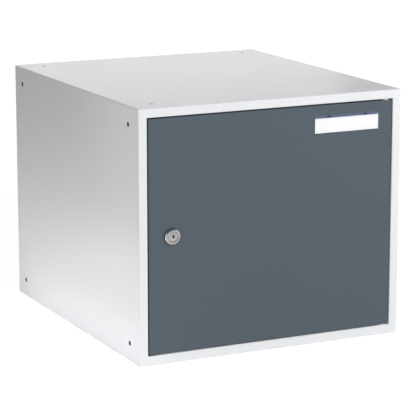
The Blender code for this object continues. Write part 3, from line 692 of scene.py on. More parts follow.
def casing_holes():
    """The bolt holes in all four sides and the holes for the pivot pins."""
    bm = bmesh.new()
    for side in (-1, 1):
        for y in (FRONT + HOLE_FROM_FRONT, BACK - HOLE_FROM_BACK):
            for z in (HOLE_FROM_FLOOR, HEIGHT - HOLE_FROM_FLOOR):
                add_bar(bm, (side * (HALF_WIDTH - SHEET / 2), y, z), "X", BOLT_HOLE, CUT_LENGTH)
            for z in (SHEET / 2, HEIGHT - SHEET / 2):
                add_bar(bm, (side * (HALF_WIDTH - HOLE_FROM_SIDE), y, z), "Z", BOLT_HOLE, CUT_LENGTH)
    add_pin_holes(bm)
    return bm


def make_casing():
    """The wrapped sheet with its face frame."""
    half = SHEET / 2
    inner = FRAME_FACE - half
    line = [(half, BACK - FRONT), (half, half), (inner, half), (inner, FRAME_RETURN)]
    places = places_round(HALF_WIDTH, 0, HEIGHT, CASING_BEND, FRONT)
    shell = new_object("casing_shell", lay_strip(fold_strip(line, SHEET, CASING_BEND), places), grey_paint)
    cut(shell, casing_holes())
    return shell


casing = make_casing()
print("casing before finishing:", len(casing.data.polygons), "faces")

# %% [markdown]
# A node tree for shapes starts like one for shading: named inputs, an output and two end nodes. It could
# hold the sizes itself, but named inputs let one tree serve several pieces. Every tree here ends in
# Realize Instances and Set Material, because a mesh that leaves Blender keeps neither an instance nor a
# material that only the tree knows.

# %% Starting and ending a geometry tree
def new_tree(name, sockets, output):
    """A geometry tree with named inputs and one output, and its two end nodes."""
    tree = bpy.data.node_groups.new(name, "GeometryNodeTree")
    for label, kind in sockets.items():
        tree.interface.new_socket(label, in_out="INPUT", socket_type="NodeSocket" + kind)
    tree.interface.new_socket(output, in_out="OUTPUT", socket_type="NodeSocketGeometry")
    return tree, tree.nodes.new("NodeGroupInput"), tree.nodes.new("NodeGroupOutput")


def end_tree(tree, geometry, coat, end):
    """Makes instances real, gives the material and feeds the tree's output."""
    real = put(tree, "GeometryNodeRealizeInstances", {"Geometry": geometry})
    coated = put(tree, "GeometryNodeSetMaterial", {"Geometry": real.outputs[0], "Material": coat})
    tree.links.new(coated.outputs[0], end.inputs[0])


print("node groups so far:", len(bpy.data.node_groups))

# %% [markdown]
# The back sheet is a shallow tray whose flanges are spot-welded inside the casing, and each weld leaves
# a shallow round dent in the outer sheet. The dents could be placed one by one, but they repeat along a
# path at an even pitch and face the way the sheet faces. So Geometry Nodes place them: resample a path,
# read the sheet's normal at each point, and turn a flat lens to it. The lenses are then cut out.

# %% A node tree for weld dents
LENS_SQUASH = 4.0
LENS_CELLS = {"Segments": 24, "Rings": 32, "Radius": 0.5}


def make_dent_tree():
    """Flat lenses along curves, each facing the way a given sheet faces."""
    sockets = {"Paths": "Geometry", "Sheet": "Object", "Pitch": "Float", "Width": "Float", "Depth": "Float"}
    tree, start, end = new_tree("Weld Dents", {**sockets, "Coat": "Material"}, "Lenses")
    given = start.outputs
    along = {"Curve": given["Paths"], "Length": given["Pitch"]}
    spaced = put(tree, "GeometryNodeResampleCurve", along, mode="LENGTH")
    points = put(tree, "GeometryNodeCurveToPoints", {"Curve": spaced.outputs[0]}, mode="EVALUATED")
    sheet = put(tree, "GeometryNodeObjectInfo", {"Object": given["Sheet"]}).outputs["Geometry"]
    normal = put(tree, "GeometryNodeInputNormal").outputs["Normal"]
    surface = {"Mesh": sheet, "Value": normal}
    nearest = put(tree, "GeometryNodeSampleNearestSurface", surface, data_type="FLOAT_VECTOR")
    facing = put(tree, "FunctionNodeAlignRotationToVector", {"Vector": nearest.outputs["Value"]}, axis="Z")
    ball = put(tree, "GeometryNodeMeshUVSphere", values=LENS_CELLS)
    tall = put(tree, "ShaderNodeMath", {0: given["Depth"]}, {1: LENS_SQUASH}, operation="MULTIPLY")
    sides = {"X": given["Width"], "Y": given["Width"], "Z": tall.outputs[0]}
    size = put(tree, "ShaderNodeCombineXYZ", sides)
    turned = {"Rotation": facing.outputs["Rotation"], "Scale": size.outputs[0]}
    shape = {"Points": points.outputs["Points"], "Instance": ball.outputs["Mesh"]}
    lenses = put(tree, "GeometryNodeInstanceOnPoints", {**shape, **turned})
    end_tree(tree, lenses.outputs["Instances"], given["Coat"], end)
    return tree


DENTS = make_dent_tree()
print("made the tree", DENTS.name)

# %% [markdown]
# A tree runs on an object. Weld lines and fold lines are never seen themselves, so they are curve
# objects that live only while a tree runs. The tree could stay on a piece as a live modifier, but its
# result has to be cut, turned or rounded next, so it is evaluated once and kept as a plain mesh.

# %% Running a tree on a path
def run_tree(holder, tree, values):
    """Gives an object the tree with values by socket name, and returns the plain mesh that it makes."""
    modifier = holder.modifiers.new(tree.name, "NODES")
    modifier.node_group = tree
    for socket in tree.interface.items_tree:
        if socket.item_type == "SOCKET" and socket.in_out == "INPUT" and socket.name in values:
            modifier[socket.identifier] = values[socket.name]
    graph = bpy.context.evaluated_depsgraph_get()
    mesh = bpy.data.meshes.new_from_object(holder.evaluated_get(graph))
    holder.modifiers.remove(modifier)
    return mesh


def grow_on_path(name, lines, tree, values):
    """Runs a tree on straight-sided curves, and returns its mesh as a bmesh."""
    data = bpy.data.curves.new(name, "CURVE")
    data.dimensions = "3D"
    for line in lines:
        spline = data.splines.new("POLY")
        spline.points.add(len(line) - 1)
        for point, place in zip(spline.points, line):
            point.co = (*place, 1.0)
    path = bpy.data.objects.new(name, data)
    bpy.context.scene.collection.objects.link(path)
    bm = bmesh.new()
    bm.from_mesh(run_tree(path, tree, values))
    bpy.data.objects.remove(path)
    return bm


print("trees to run:", [tree.name for tree in bpy.data.node_groups if tree.type == "GEOMETRY"])

# %% [markdown]
# The welds run in one line on each side, over the flange of the back sheet. Their dents are only a
# twentieth of a millimetre deep and could be left to a bump map, but real dents catch the light in
# every view. The casing is then rounded and seated on the body that stands still.

# %% Cutting the dents
WELD_PITCH = 62.0 * MM
WELD_WIDTH = 7.0 * MM
WELD_DEPTH = 0.05 * MM
WELD_FROM_BACK = 9.0 * MM
WELD_FROM_CORNER = 45.0 * MM
CASING_EDGE = 0.25 * MM


def dent_sheet(made, lines, pitch):
    """Cuts weld dents into a sheet along paths that lie just above its surface."""
    values = {"Sheet": made, "Pitch": pitch, "Width": WELD_WIDTH, "Depth": WELD_DEPTH}
    lenses = grow_on_path(made.name + "_welds", lines, DENTS, values)
    print(made.name, "has", len(lenses.verts), "points in its dents")
    cut(made, lenses)


def back_weld_lines():
    """One line of welds on each of the four sides, over the flange of the back sheet."""
    y = BACK - WELD_FROM_BACK
    x, z = HALF_WIDTH - WELD_FROM_CORNER, HEIGHT - WELD_FROM_CORNER
    side = HALF_WIDTH + WELD_DEPTH
    lines = [[(-x, y, level), (x, y, level)] for level in (-WELD_DEPTH, HEIGHT + WELD_DEPTH)]
    return lines + [[(edge, y, WELD_FROM_CORNER), (edge, y, z)] for edge in (-side, side)]


dent_sheet(casing, back_weld_lines(), WELD_PITCH)
round_edges(casing, CASING_EDGE)
seat(casing, "casing", "casing_paint", "casing_wrap")

# %% [markdown]
# The back closes the casing. A flat plate would fill the same space, but nothing could be welded to its
# thin edge, so the sheet is a tray with its edges folded backward, flush with the ends of the sides. It
# is the frame's kind of strip again, with a face across it.

# %% The back sheet
BACK_FLANGE = 15.0 * MM
BACK_BEND = 2.0 * MM
SHEET_EDGE = 0.2 * MM


def make_back():
    """A tray set between the sides, with its edges folded backward, flush with the sides."""
    half, inset = SHEET / 2, SHEET + SEAM
    strip = fold_strip([(BACK_FLANGE, half), (half, half), (half, BACK_FLANGE)], SHEET, BACK_BEND)
    places = places_round(HALF_WIDTH - inset, inset, HEIGHT - inset, BACK_BEND, BACK - BACK_FLANGE)
    back = new_object("back_sheet", lay_strip(strip, places, faced=True), grey_paint)
    round_edges(back, SHEET_EDGE)
    return back


seat(make_back(), "casing", "casing_paint", "back_panel")

# %% [markdown]
# The door is a pan: a flat skin with its edges folded back and in again. A plain slab would look the
# same while it is shut, but an open door shows its folds. It gets a round hole for the lock, four small
# slots for the label holder's feet and the holes for the pivot pins.

# %% The door
DOOR_BEND = 1.5 * MM
DOOR_CORNER = 1.0 * MM
DOOR_LIP = 12.0 * MM
LOCK_HOLE = 19.6 * MM
LOCK_HOLE_SIDES = 64
FOOT_SPACING = 58.0 * MM
FOOT_WIDTH = 5.4 * MM
FOOT_THICKNESS = 0.9 * MM
CARD_LOW, CARD_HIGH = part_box("label_card")
COVER_LOW, COVER_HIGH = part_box("label_cover")
LABEL_X = (CARD_LOW.x + CARD_HIGH.x) / 2


def label_feet():
    """The X, the Z and the height of slope of each of the four feet of the label holder."""
    slopes = ((COVER_LOW.z, CARD_LOW.z), (CARD_HIGH.z, COVER_HIGH.z))
    return [(LABEL_X + side * FOOT_SPACING / 2, (a + b) / 2, b - a) for side in (-1, 1) for a, b in slopes]


def door_holes():
    """The cutters for the lock, the label holder's feet and the pins."""
    bm = bmesh.new()
    add_bar(bm, (LOCK_X, FRONT, LOCK_Z), "Y", LOCK_HOLE, CUT_LENGTH, LOCK_HOLE_SIDES)
    wide, tall = FOOT_WIDTH / 2 + SEAM, FOOT_THICKNESS / 2 + SEAM
    for x, z, _ in label_feet():
        add_block(bm, (x - wide, FRONT - SHEET, z - tall), (x + wide, FRONT + 2 * SHEET, z + tall))
    add_pin_holes(bm)
    return bm


def make_door():
    """The door pan with its holes."""
    half = SHEET / 2
    depth = DOOR_HIGH.y - DOOR_LOW.y - half
    strip = fold_strip([(DOOR_LIP, half), (half, half), (half, depth), (DOOR_LIP, depth)], SHEET, DOOR_BEND)
    places = places_round(DOOR_HIGH.x, DOOR_LOW.z, DOOR_HIGH.z, DOOR_CORNER, FRONT)
    door = new_object("door_skin", lay_strip(strip, places, faced=True), blue_paint)
    cut(door, door_holes())
    round_edges(door, SHEET_EDGE)
    return door


seat(make_door(), "door", "door_paint", "door_pan")

# %% [markdown]
# Straight folded sections, such as the stiffener in the door and the strike behind the stile, follow one
# rule: a fold line with rounded corners, drawn out to a length and given a thickness. Each could be laid
# out point by point, but as a short node tree the rule is written once, and a section is then only a few
# points and four numbers.

# %% A node tree for folded sections
WELD_REACH = SEAM / 100


def make_section_tree():
    """A sheet folded along a curve: rounded corners, drawn up along Z, then thickened."""
    sockets = {"Fold Line": "Geometry", "Length": "Float", "Bend Radius": "Float", "Thickness": "Float"}
    more = {"Bend Steps": "Int", "Coat": "Material"}
    tree, start, end = new_tree("Folded Section", {**sockets, **more}, "Sheet")
    given = start.outputs
    bends = {"Curve": given["Fold Line"], "Radius": given["Bend Radius"], "Count": given["Bend Steps"]}
    bent = put(tree, "GeometryNodeFilletCurve", bends, mode="POLY")
    flat = put(tree, "GeometryNodeCurveToMesh", {"Curve": bent.outputs[0]})
    rise = put(tree, "ShaderNodeCombineXYZ", {"Z": given["Length"]})
    upward = {"Mesh": flat.outputs[0], "Offset": rise.outputs[0]}
    drawn = put(tree, "GeometryNodeExtrudeMesh", upward, mode="EDGES")
    outward = {"Mesh": drawn.outputs[0], "Offset Scale": given["Thickness"]}
    thick = put(tree, "GeometryNodeExtrudeMesh", outward, {"Individual": False}, mode="FACES")
    under = put(tree, "GeometryNodeFlipFaces", {"Mesh": drawn.outputs[0]})
    both = put(tree, "GeometryNodeJoinGeometry")
    for part in (thick.outputs[0], under.outputs[0]):
        tree.links.new(part, both.inputs[0])
    joined, reach = {"Geometry": both.outputs[0]}, {"Distance": WELD_REACH}
    welded = put(tree, "GeometryNodeMergeByDistance", joined, reach)
    end_tree(tree, welded.outputs[0], given["Coat"], end)
    return tree


def make_section(name, line, low, high, bend, thickness, coat):
    """A folded section between two heights."""
    values = {"Length": high - low, "Bend Radius": bend, "Thickness": thickness, "Bend Steps": BEND_STEPS}
    values["Coat"] = coat
    folded = grow_on_path(name + "_line", [[(x, y, low) for x, y in line]], SECTION, values)
    return new_object(name, folded, coat)


SECTION = make_section_tree()
print("made the tree", SECTION.name)

# %% [markdown]
# A wide thin door drums and bends, so a hat-shaped section is welded up its inside: two feet on the
# skin and a crown between two slopes. A square tube would be easier to draw, but it isn't what is
# welded into such doors. The fold line runs along the side that faces the door, and the feet get the
# same weld dents as the casing.

# %% The hat section in the door
HAT_LOW, HAT_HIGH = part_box("door_stiffener")
HAT_SHEET = 0.8 * MM
HAT_BEND = 0.9 * MM
HAT_CROWN = 15.0 * MM
HAT_SLOPE = 6.0 * MM
HAT_WELD_PITCH = 48.0 * MM
SECTION_EDGE = 0.15 * MM


def hat_line():
    """The fold line of the hat section, along its side that faces the door."""
    root = HAT_CROWN + HAT_SLOPE
    right = [(HAT_CROWN, HAT_HIGH.y - HAT_SHEET), (root, HAT_LOW.y), (HAT_HIGH.x, HAT_LOW.y)]
    return [(-x, y) for x, y in reversed(right)] + right


def hat_weld_lines():
    """A line of welds along the middle of each foot."""
    x, y = (HAT_CROWN + HAT_SLOPE + HAT_HIGH.x) / 2, HAT_LOW.y + HAT_SHEET + WELD_DEPTH
    low, high = HAT_LOW.z + HAT_WELD_PITCH / 2, HAT_HIGH.z - HAT_WELD_PITCH / 2
    return [[(side, y, low), (side, y, high)] for side in (-x, x)]


hat = make_section("door_hat_section", hat_line(), HAT_LOW.z, HAT_HIGH.z, HAT_BEND, HAT_SHEET, blue_paint)
dent_sheet(hat, hat_weld_lines(), HAT_WELD_PITCH)
round_edges(hat, SECTION_EDGE)
seat(hat, "door", "door_paint", "door_stiffener")

# %% [markdown]
# Behind the lock-side stile stands an angle of sheet. It carries the two buffers that the door closes
# on, and the cam turns behind it. It could be part of the casing's own fold, but such a deep fold is hard
# to reach with a press, so it is a section of its own with a single bend. Its thickness is negative,
# because it lies on the other side of its fold line.

# %% The strike behind the stile
STRIKE_LOW, STRIKE_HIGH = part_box("strike_angle")
STRIKE_BEND = 0.8 * MM


def strike_line():
    """The fold line of the strike, along its front and outer side."""
    return [(STRIKE_LOW.x, STRIKE_LOW.y), (STRIKE_LOW.x, STRIKE_HIGH.y), (STRIKE_HIGH.x, STRIKE_HIGH.y)]


strike = make_section("strike", strike_line(), STRIKE_LOW.z, STRIKE_HIGH.z, STRIKE_BEND, -SHEET, grey_paint)
round_edges(strike, SECTION_EDGE)
seat(strike, "casing", "casing_paint", "strike_angle")

# %% [markdown]
# Hinge plates, brackets, the cam, the nut and the screw are pressed or cut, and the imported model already
# has their shapes. They could be drawn again, but that would add nothing. So a copy of each is merged,
# its coplanar triangles are dissolved into whole faces, and its cut edges are rounded to catch light.

# %% Pressed parts
PLATE_EDGE = 0.3 * MM
FLAT_ANGLE = math.radians(1)
LOCK_PARTS = (
    ("lock_cam", "cam_bar", "lock", 0.35 * MM),
    ("lock_nut", "lock_hex_nut", "door", 0.4 * MM),
    ("cam_screw", "cam_bolt", "lock", 0.2 * MM),
    ("cam_washer", "cam_disc", "lock", 0.15 * MM),
)


def refine(node, name, material, edge):
    """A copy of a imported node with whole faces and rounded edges."""
    bm = bmesh.new()
    bm.from_mesh(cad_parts[node].data)
    bmesh.ops.remove_doubles(bm, verts=bm.verts, dist=WELD_REACH)
    bmesh.ops.dissolve_limit(bm, angle_limit=FLAT_ANGLE, verts=bm.verts, edges=bm.edges)
    made = new_object(name, bm, material)
    round_edges(made, edge)
    return made


for end in ("upper", "lower"):
    plate = refine(f"{end}_hinge_plate", f"{end}_pivot_plate", steel, PLATE_EDGE)
    seat(plate, "casing", "hinge_steel", f"{end}_hinge_plate")
    bracket = refine(f"{end}_pivot_bracket", f"{end}_door_bracket", steel, PLATE_EDGE)
    seat(bracket, "door", "hinge_steel", f"{end}_pivot_bracket")
for node, name, body, edge in LOCK_PARTS:
    seat(refine(node, name, zinc, edge), body, "zinc", node)

# %% [markdown]
# Pins, washers, buffers and the lock are turned on a lathe or moulded round. A cylinder with a Bevel
# modifier could be the start of each, but a domed flange or a dished face needs more. So each is a
# section of radius and height spun about its axis, and its corners are rounded in the section, before it
# is spun.

# %% Spinning a section
ON_AXIS = SEAM / 10
SPIN_SIDES = 64
CORNER_STEPS = 3
SIDE_PARTS = 2.2


def soften(outline, radius, steps=CORNER_STEPS):
    """Rounds the corners of an open or closed section, apart from points on the axis."""
    points = [Vector(point) for point in outline]
    rounded = []
    for index, point in enumerate(points):
        if point.x < ON_AXIS:
            rounded.append(point)
            continue
        before, after = points[index - 1] - point, points[(index + 1) % len(points)] - point
        reach = min(radius, before.length / SIDE_PARTS, after.length / SIDE_PARTS)
        first, last = point + before.normalized() * reach, point + after.normalized() * reach
        for step in range(steps + 1):
            share = step / steps
            rounded.append(first.lerp(point, share).lerp(point.lerp(last, share), share))
    return rounded


def spin(name, outline, centre, along, material, sides=SPIN_SIDES):
    """A turned piece about an axis through a centre. The heights run along the axis."""
    turn = Matrix.Rotation(-math.pi / 2, 4, "X") if along == "Y" else Matrix.Identity(4)
    matrix = Matrix.Translation(centre) @ turn
    angles = [2 * math.pi * side / sides for side in range(sides)]
    bm = bmesh.new()
    rings = []
    for radius, height in outline:
        if radius < ON_AXIS:
            rings.append([bm.verts.new(matrix @ Vector((0, 0, height)))] * sides)
            continue
        points = [Vector((radius * math.cos(angle), radius * math.sin(angle), height)) for angle in angles]
        rings.append([bm.verts.new(matrix @ point) for point in points])
    pairs = list(zip(rings, rings[1:]))
    if outline[0][0] >= ON_AXIS:
        pairs.append((rings[-1], rings[0]))
    for lower, upper in pairs:
        for side in range(sides):
            after = (side + 1) % sides
            bm.faces.new(list(dict.fromkeys((lower[side], lower[after], upper[after], upper[side]))))
    return new_object(name, bm, material)


print("a turned piece has", SPIN_SIDES, "sides")

# %% [markdown]
# The door turns on two headed pins. A white nylon washer fills the gap between door and frame at each,
# and the door closes on two rubber buffers. The washers and pins stand upright and the buffers point
# forward, so the buffers are spun about Y. A third buffer, in the corner of the sill, isn't round, and
# is a refined copy.

# %% Pins, washers and buffers
PIN_RADIUS = 2.0 * MM
HEAD_HEIGHT = 2.0 * MM
HEAD_CHAMFER = 0.8 * MM
HEAD_FLAT_SHARE = 0.8
WASHER_BORE = 2.1 * MM
WASHER_SOFTNESS = 0.3 * MM
BUFFER_FACE_SHARE = 0.86
PIN_SOFTNESS = BUFFER_SOFTNESS = 0.5 * MM
SILL_BUFFER_EDGE = 0.45 * MM


def spin_upright(name, low, high, outline, softness, material):
    """A turned piece about the upright axis through the middle of a box."""
    centre = Vector(((low.x + high.x) / 2, (low.y + high.y) / 2, 0))
    return spin(name, soften(outline, softness), centre, "Z", material)


def make_pin(end, up):
    """A pin whose head is at the top of the upper one and at the bottom of the lower one."""
    low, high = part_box(f"{end}_pin")
    head, tip = (high.z, low.z) if up > 0 else (low.z, high.z)
    radius, under = (high.x - low.x) / 2, head - up * HEAD_HEIGHT
    outline = [(0, head), (radius * HEAD_FLAT_SHARE, head), (radius, head - up * HEAD_CHAMFER)]
    outline += [(radius, under), (PIN_RADIUS, under), (PIN_RADIUS, tip), (0, tip)]
    return spin_upright(f"{end}_pivot_pin", low, high, outline, PIN_SOFTNESS, steel)


def make_washer(end):
    """A flat ring in the gap between door and frame."""
    low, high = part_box(f"{end}_washer")
    rim = (high.x - low.x) / 2
    outline = [(WASHER_BORE, low.z), (rim, low.z), (rim, high.z), (WASHER_BORE, high.z)]
    return spin_upright(f"{end}_nylon_washer", low, high, outline, WASHER_SOFTNESS, nylon)


def make_buffer(end):
    """A slightly tapered button that looks forward."""
    low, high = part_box(f"{end}_stop_buffer")
    radius, middle = (high.x - low.x) / 2, (low + high) / 2
    outline = [(0, low.y), (radius * BUFFER_FACE_SHARE, low.y), (radius, high.y), (0, high.y)]
    soft = soften(outline, BUFFER_SOFTNESS)
    return spin(f"{end}_door_buffer", soft, (middle.x, 0, middle.z), "Y", rubber)


for end, up in (("upper", 1), ("lower", -1)):
    seat(make_pin(end, up), "casing", "hinge_steel", f"{end}_pin")
    seat(make_washer(end), "casing", "nylon", f"{end}_washer")
    seat(make_buffer(end), "casing", "rubber", f"{end}_stop_buffer")
sill_buffer = refine("sill_buffer", "corner_buffer", rubber, SILL_BUFFER_EDGE)
seat(sill_buffer, "casing", "rubber", "sill_buffer")

# %% [markdown]
# The lock shows most of all the fittings. Its body is a domed flange with a threaded barrel behind it.
# The dome could be a bevelled cylinder, but its highlight would then be a thin ring. On the real lock
# the shoulder is a broad quarter round, so the section follows a quarter of an ellipse.

# %% The lock's housing
FLANGE_TOP, FLANGE_FOOT = LOCK_LOW.y, FRONT - SEAM
FLANGE_RADIUS = (LOCK_HIGH.x - LOCK_LOW.x) / 2
PLUG_RADIUS = 7.0 * MM
BORE_RADIUS = 7.1 * MM
THREAD_CREST = 9.5 * MM
THREAD_ROOT = 8.9 * MM
FACE_RADIUS = 7.6 * MM
RIM_HEIGHT = 0.9 * MM
SHOULDER_STEPS = 10
LOCK_SIDES = 96
FLANGE_SOFTNESS = 0.3 * MM
FLANGE_CORNER_STEPS = 4


def make_housing():
    """The domed flange and the barrel behind it."""
    wide, tall = FLANGE_RADIUS - FACE_RADIUS, FLANGE_FOOT - RIM_HEIGHT - FLANGE_TOP
    outline = [(BORE_RADIUS, FLANGE_TOP)]
    for step in range(SHOULDER_STEPS + 1):
        turn = math.pi / 2 * step / SHOULDER_STEPS
        outline.append((FACE_RADIUS + wide * math.sin(turn), FLANGE_TOP + tall * (1 - math.cos(turn))))
    outline += [(FLANGE_RADIUS, FLANGE_FOOT), (THREAD_ROOT, FLANGE_FOOT)]
    outline += [(THREAD_ROOT, LOCK_HIGH.y), (BORE_RADIUS, LOCK_HIGH.y)]
    soft = soften(outline, FLANGE_SOFTNESS, FLANGE_CORNER_STEPS)
    return spin("lock_barrel", soft, (LOCK_X, 0, LOCK_Z), "Y", lock_metal, LOCK_SIDES)


seat(make_housing(), "door", "lock_chrome", "lock_housing")

# %% [markdown]
# The barrel is threaded for the nut, and the thread shows when the door stands open. Stacked rings would
# look almost like a thread, but a thread is one helix. So Geometry Nodes draw a spiral and sweep a small
# four-sided ridge along it. The ridge is made along Z and then turned to the lock's axis.

# %% A node tree for the thread
THREAD_PITCH = 1.0 * MM
THREAD_START = FRONT + SHEET + SEAM
HELIX_STEPS = 48
RIDGE_SIDES = 4


def make_thread_tree():
    """A ridge wound along a helix about Z, which starts at the origin's height."""
    sockets = {"Root Radius": "Float", "Ridge": "Float", "Pitch": "Float", "Length": "Float"}
    tree, start, end = new_tree("Screw Thread", {**sockets, "Metal": "Material"}, "Thread")
    given = start.outputs
    turns = put(tree, "ShaderNodeMath", {0: given["Length"], 1: given["Pitch"]}, operation="DIVIDE")
    winding = {"Height": given["Length"], "Rotations": turns.outputs[0]}
    round_it = {"Start Radius": given["Root Radius"], "End Radius": given["Root Radius"]}
    steps, sides = {"Resolution": HELIX_STEPS}, {"Resolution": RIDGE_SIDES}
    helix = put(tree, "GeometryNodeCurveSpiral", {**winding, **round_it}, steps)
    upright = put(tree, "GeometryNodeSetCurveNormal", {"Curve": helix.outputs[0]}, mode="Z_UP")
    section = {"Radius": given["Ridge"]}
    ridge = put(tree, "GeometryNodeCurvePrimitiveCircle", section, sides, mode="RADIUS")
    path = {"Curve": upright.outputs[0], "Profile Curve": ridge.outputs[0]}
    swept = put(tree, "GeometryNodeCurveToMesh", path, {"Fill Caps": True})
    end_tree(tree, swept.outputs[0], given["Metal"], end)
    return tree


def make_thread():
    """The thread on the lock's barrel."""
    length = LOCK_HIGH.y - THREAD_START - THREAD_PITCH
    values = {"Root Radius": THREAD_ROOT, "Ridge": THREAD_CREST - THREAD_ROOT, "Pitch": THREAD_PITCH}
    values.update({"Length": length, "Metal": lock_metal})
    bm = grow_on_path("thread_holder", [[(0, 0, 0), (0, 0, MM)]], THREAD, values)
    turn = Matrix.Translation((LOCK_X, THREAD_START, LOCK_Z)) @ Matrix.Rotation(-math.pi / 2, 4, "X")
    bm.transform(turn)
    return new_object("lock_thread", bm, lock_metal)


THREAD = make_thread_tree()
seat(make_thread(), "door", "lock_chrome")

# %% [markdown]
# The plug is what the key turns: a raised lip, a slightly dished face, and the key slot with a step at
# one side for the key's ribs. At the back it ends in a square that carries the cam. The slot could be
# black paint on a flat face, but a cut slot stays right from every side. The round part is spun, the
# square is joined on and the slot is cut out, and deep in the slot the faces get a near-black metal as
# painted shade.

# %% The plug and its key slot
PLUG_LOW, PLUG_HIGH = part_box("lock_cylinder")
DISH_DEPTH = 0.16 * MM
DISH_RIM = (4.8 * MM, 0.15 * MM)
LIP_INSIDE, LIP_OUTSIDE = 5.7 * MM, 6.5 * MM
LIP_CHAMFER = 0.5 * MM
PLUG_SOFTNESS = 0.15 * MM
PLUG_EDGE = 0.12 * MM
KEY_WIDTH, KEY_HEIGHT = 2.3 * MM, 4.6 * MM
KEY_Z = LOCK_Z + 0.6 * MM
KEY_DEPTH = 14.5 * MM
WARD_WIDTH = 1.7 * MM
WARD_LOW, WARD_HIGH = 1.6 * MM, 0.3 * MM
SPIGOT = 3.5 * MM
SLOT_SHADE_START = 0.8 * MM
SLOT_SHADE_MARGIN = 0.1 * MM


def slot_block(left, right, low, high):
    """A cutter into the plug's face, a little in front of it too."""
    bm = bmesh.new()
    add_block(bm, (left, PLUG_LOW.y - MM, low), (right, PLUG_LOW.y + KEY_DEPTH, high))
    return bm


def deep_in_slot(place):
    """Whether a place on the plug is on the walls of the key slot, below its mouth."""
    deep = PLUG_LOW.y + SLOT_SHADE_START < place.y < LOCK_HIGH.y - MM
    beside = abs(place.x - LOCK_X) < KEY_WIDTH / 2 + SLOT_SHADE_MARGIN + MM
    return deep and beside and abs(place.z - KEY_Z) < KEY_HEIGHT / 2 + SLOT_SHADE_MARGIN


def make_plug():
    """The turning plug: a lip and a dished face, then the key slot and the square end."""
    face, back = PLUG_LOW.y, LOCK_HIGH.y
    outline = [(0, face + DISH_DEPTH), (DISH_RIM[0], face + DISH_RIM[1]), (LIP_INSIDE, face)]
    outline += [(LIP_OUTSIDE, face), (PLUG_RADIUS, face + LIP_CHAMFER), (PLUG_RADIUS, back), (0, back)]
    soft = soften(outline, PLUG_SOFTNESS)
    plug = spin("lock_plug", soft, (LOCK_X, 0, LOCK_Z), "Y", lock_metal, LOCK_SIDES)
    square = bmesh.new()
    low = (LOCK_X - SPIGOT, back - MM, LOCK_Z - SPIGOT)
    add_block(square, low, (LOCK_X + SPIGOT, PLUG_HIGH.y, LOCK_Z + SPIGOT))
    cut(plug, square, "UNION")
    wide, tall = KEY_WIDTH / 2, KEY_HEIGHT / 2
    cut(plug, slot_block(LOCK_X - wide, LOCK_X + wide, KEY_Z - tall, KEY_Z + tall))
    cut(plug, slot_block(LOCK_X, LOCK_X + WARD_WIDTH, KEY_Z - WARD_LOW, KEY_Z - WARD_HIGH))
    round_edges(plug, PLUG_EDGE)
    # The walls deep in the key slot get the near-black metal: painted shade.
    paint_where(plug, slot_shade_metal, deep_in_slot)
    return plug


seat(make_plug(), "lock", "lock_chrome", "lock_cylinder")

# %% [markdown]
# The label holder is a clear moulding: a flat window with sloping edges above and below, a pocket for
# the card behind it, and an opening in the slope over each foot. A bevelled block would give the slopes
# on all four sides, where the real one has only two. So the section is drawn as it is, and one cutter
# holds the pocket and the openings.

# %% The shape of the label holder
OPENING_SHARE = 0.60
HOLDER_POCKET = 0.8 * MM
COVER_BACK, COVER_FRONT = FRONT - SEAM, COVER_LOW.y


def holder_block():
    """The moulding before it is hollowed: its section drawn across the label."""
    low, high = COVER_LOW, COVER_HIGH
    section = [(COVER_BACK, low.z), (COVER_FRONT, CARD_LOW.z)]
    section += [(COVER_FRONT, CARD_HIGH.z), (COVER_BACK, high.z)]
    bm = bmesh.new()
    rings = [[bm.verts.new((x, y, z)) for y, z in section] for x in (low.x, high.x)]
    for ring in rings:
        bm.faces.new(ring)
    for index in range(len(section)):
        after = (index + 1) % len(section)
        bm.faces.new((rings[0][index], rings[0][after], rings[1][after], rings[1][index]))
    return bm


def holder_hollows():
    """The card's pocket and the opening over each foot."""
    bm = bmesh.new()
    low = (CARD_LOW.x - SEAM, COVER_BACK - HOLDER_POCKET, CARD_LOW.z - SEAM)
    add_block(bm, low, (CARD_HIGH.x + SEAM, FRONT, CARD_HIGH.z + SEAM))
    for x, z, slope in label_feet():
        wide, tall = FOOT_WIDTH / 2, slope * OPENING_SHARE / 2
        add_block(bm, (x - wide, COVER_FRONT, z - tall), (x + wide, FRONT, z + tall))
    return bm


holder = new_object("label_holder", holder_block(), clear)
cut(holder, holder_hollows())
print("label holder before its feet:", len(holder.data.polygons), "faces")

# %% [markdown]
# Four feet clip the holder through the door, and each shows as a dark mark with a small hook. The marks
# could be painted on, but they have depth of their own; their shade is painted as well. So a hook and a
# foot are joined on at each place, and the faces get their colour by where they lie: the window stays
# clear, the slopes get painted refraction in a bluish colour, and the clips painted shade in near-black.

# %% The holder's feet, its painted refraction and its painted shade
HOLDER_EDGE = 0.15 * MM
HOOK_WIDTH = HOOK_RISE = 0.4 * MM
HOOK_SINK = 0.1 * MM
FOOT_SINK = 0.2 * MM
SHADE_BESIDE = 0.6 * MM
SHADE_ABOVE = 0.1 * MM


def add_foot(holder, x, z):
    """A hook on the door's face and the foot that goes through the door."""
    wide, tall = FOOT_WIDTH / 2 + HOOK_WIDTH, FOOT_THICKNESS / 2
    hook = bmesh.new()
    low = (x - wide, COVER_BACK - HOOK_RISE, z - tall)
    add_block(hook, low, (x + wide, COVER_BACK + HOOK_SINK, z + tall))
    cut(holder, hook, "UNION")
    foot = bmesh.new()
    low = (x - FOOT_WIDTH / 2, COVER_BACK - FOOT_SINK, z - tall)
    add_block(foot, low, (x + FOOT_WIDTH / 2, COVER_HIGH.y, z + tall))
    cut(holder, foot, "UNION")


def on_slope(place):
    """Whether a place on the holder is above or below its flat window."""
    return not CARD_LOW.z - 2 * SEAM < place.z < CARD_HIGH.z + 2 * SEAM


def at_foot(place):
    """Whether a place on the holder is on a clip or in the opening over it."""
    for x, z, slope in label_feet():
        beside = abs(place.x - x) < FOOT_WIDTH / 2 + SHADE_BESIDE
        if beside and abs(place.z - z) < slope * OPENING_SHARE / 2 + SHADE_ABOVE:
            return True
    return False


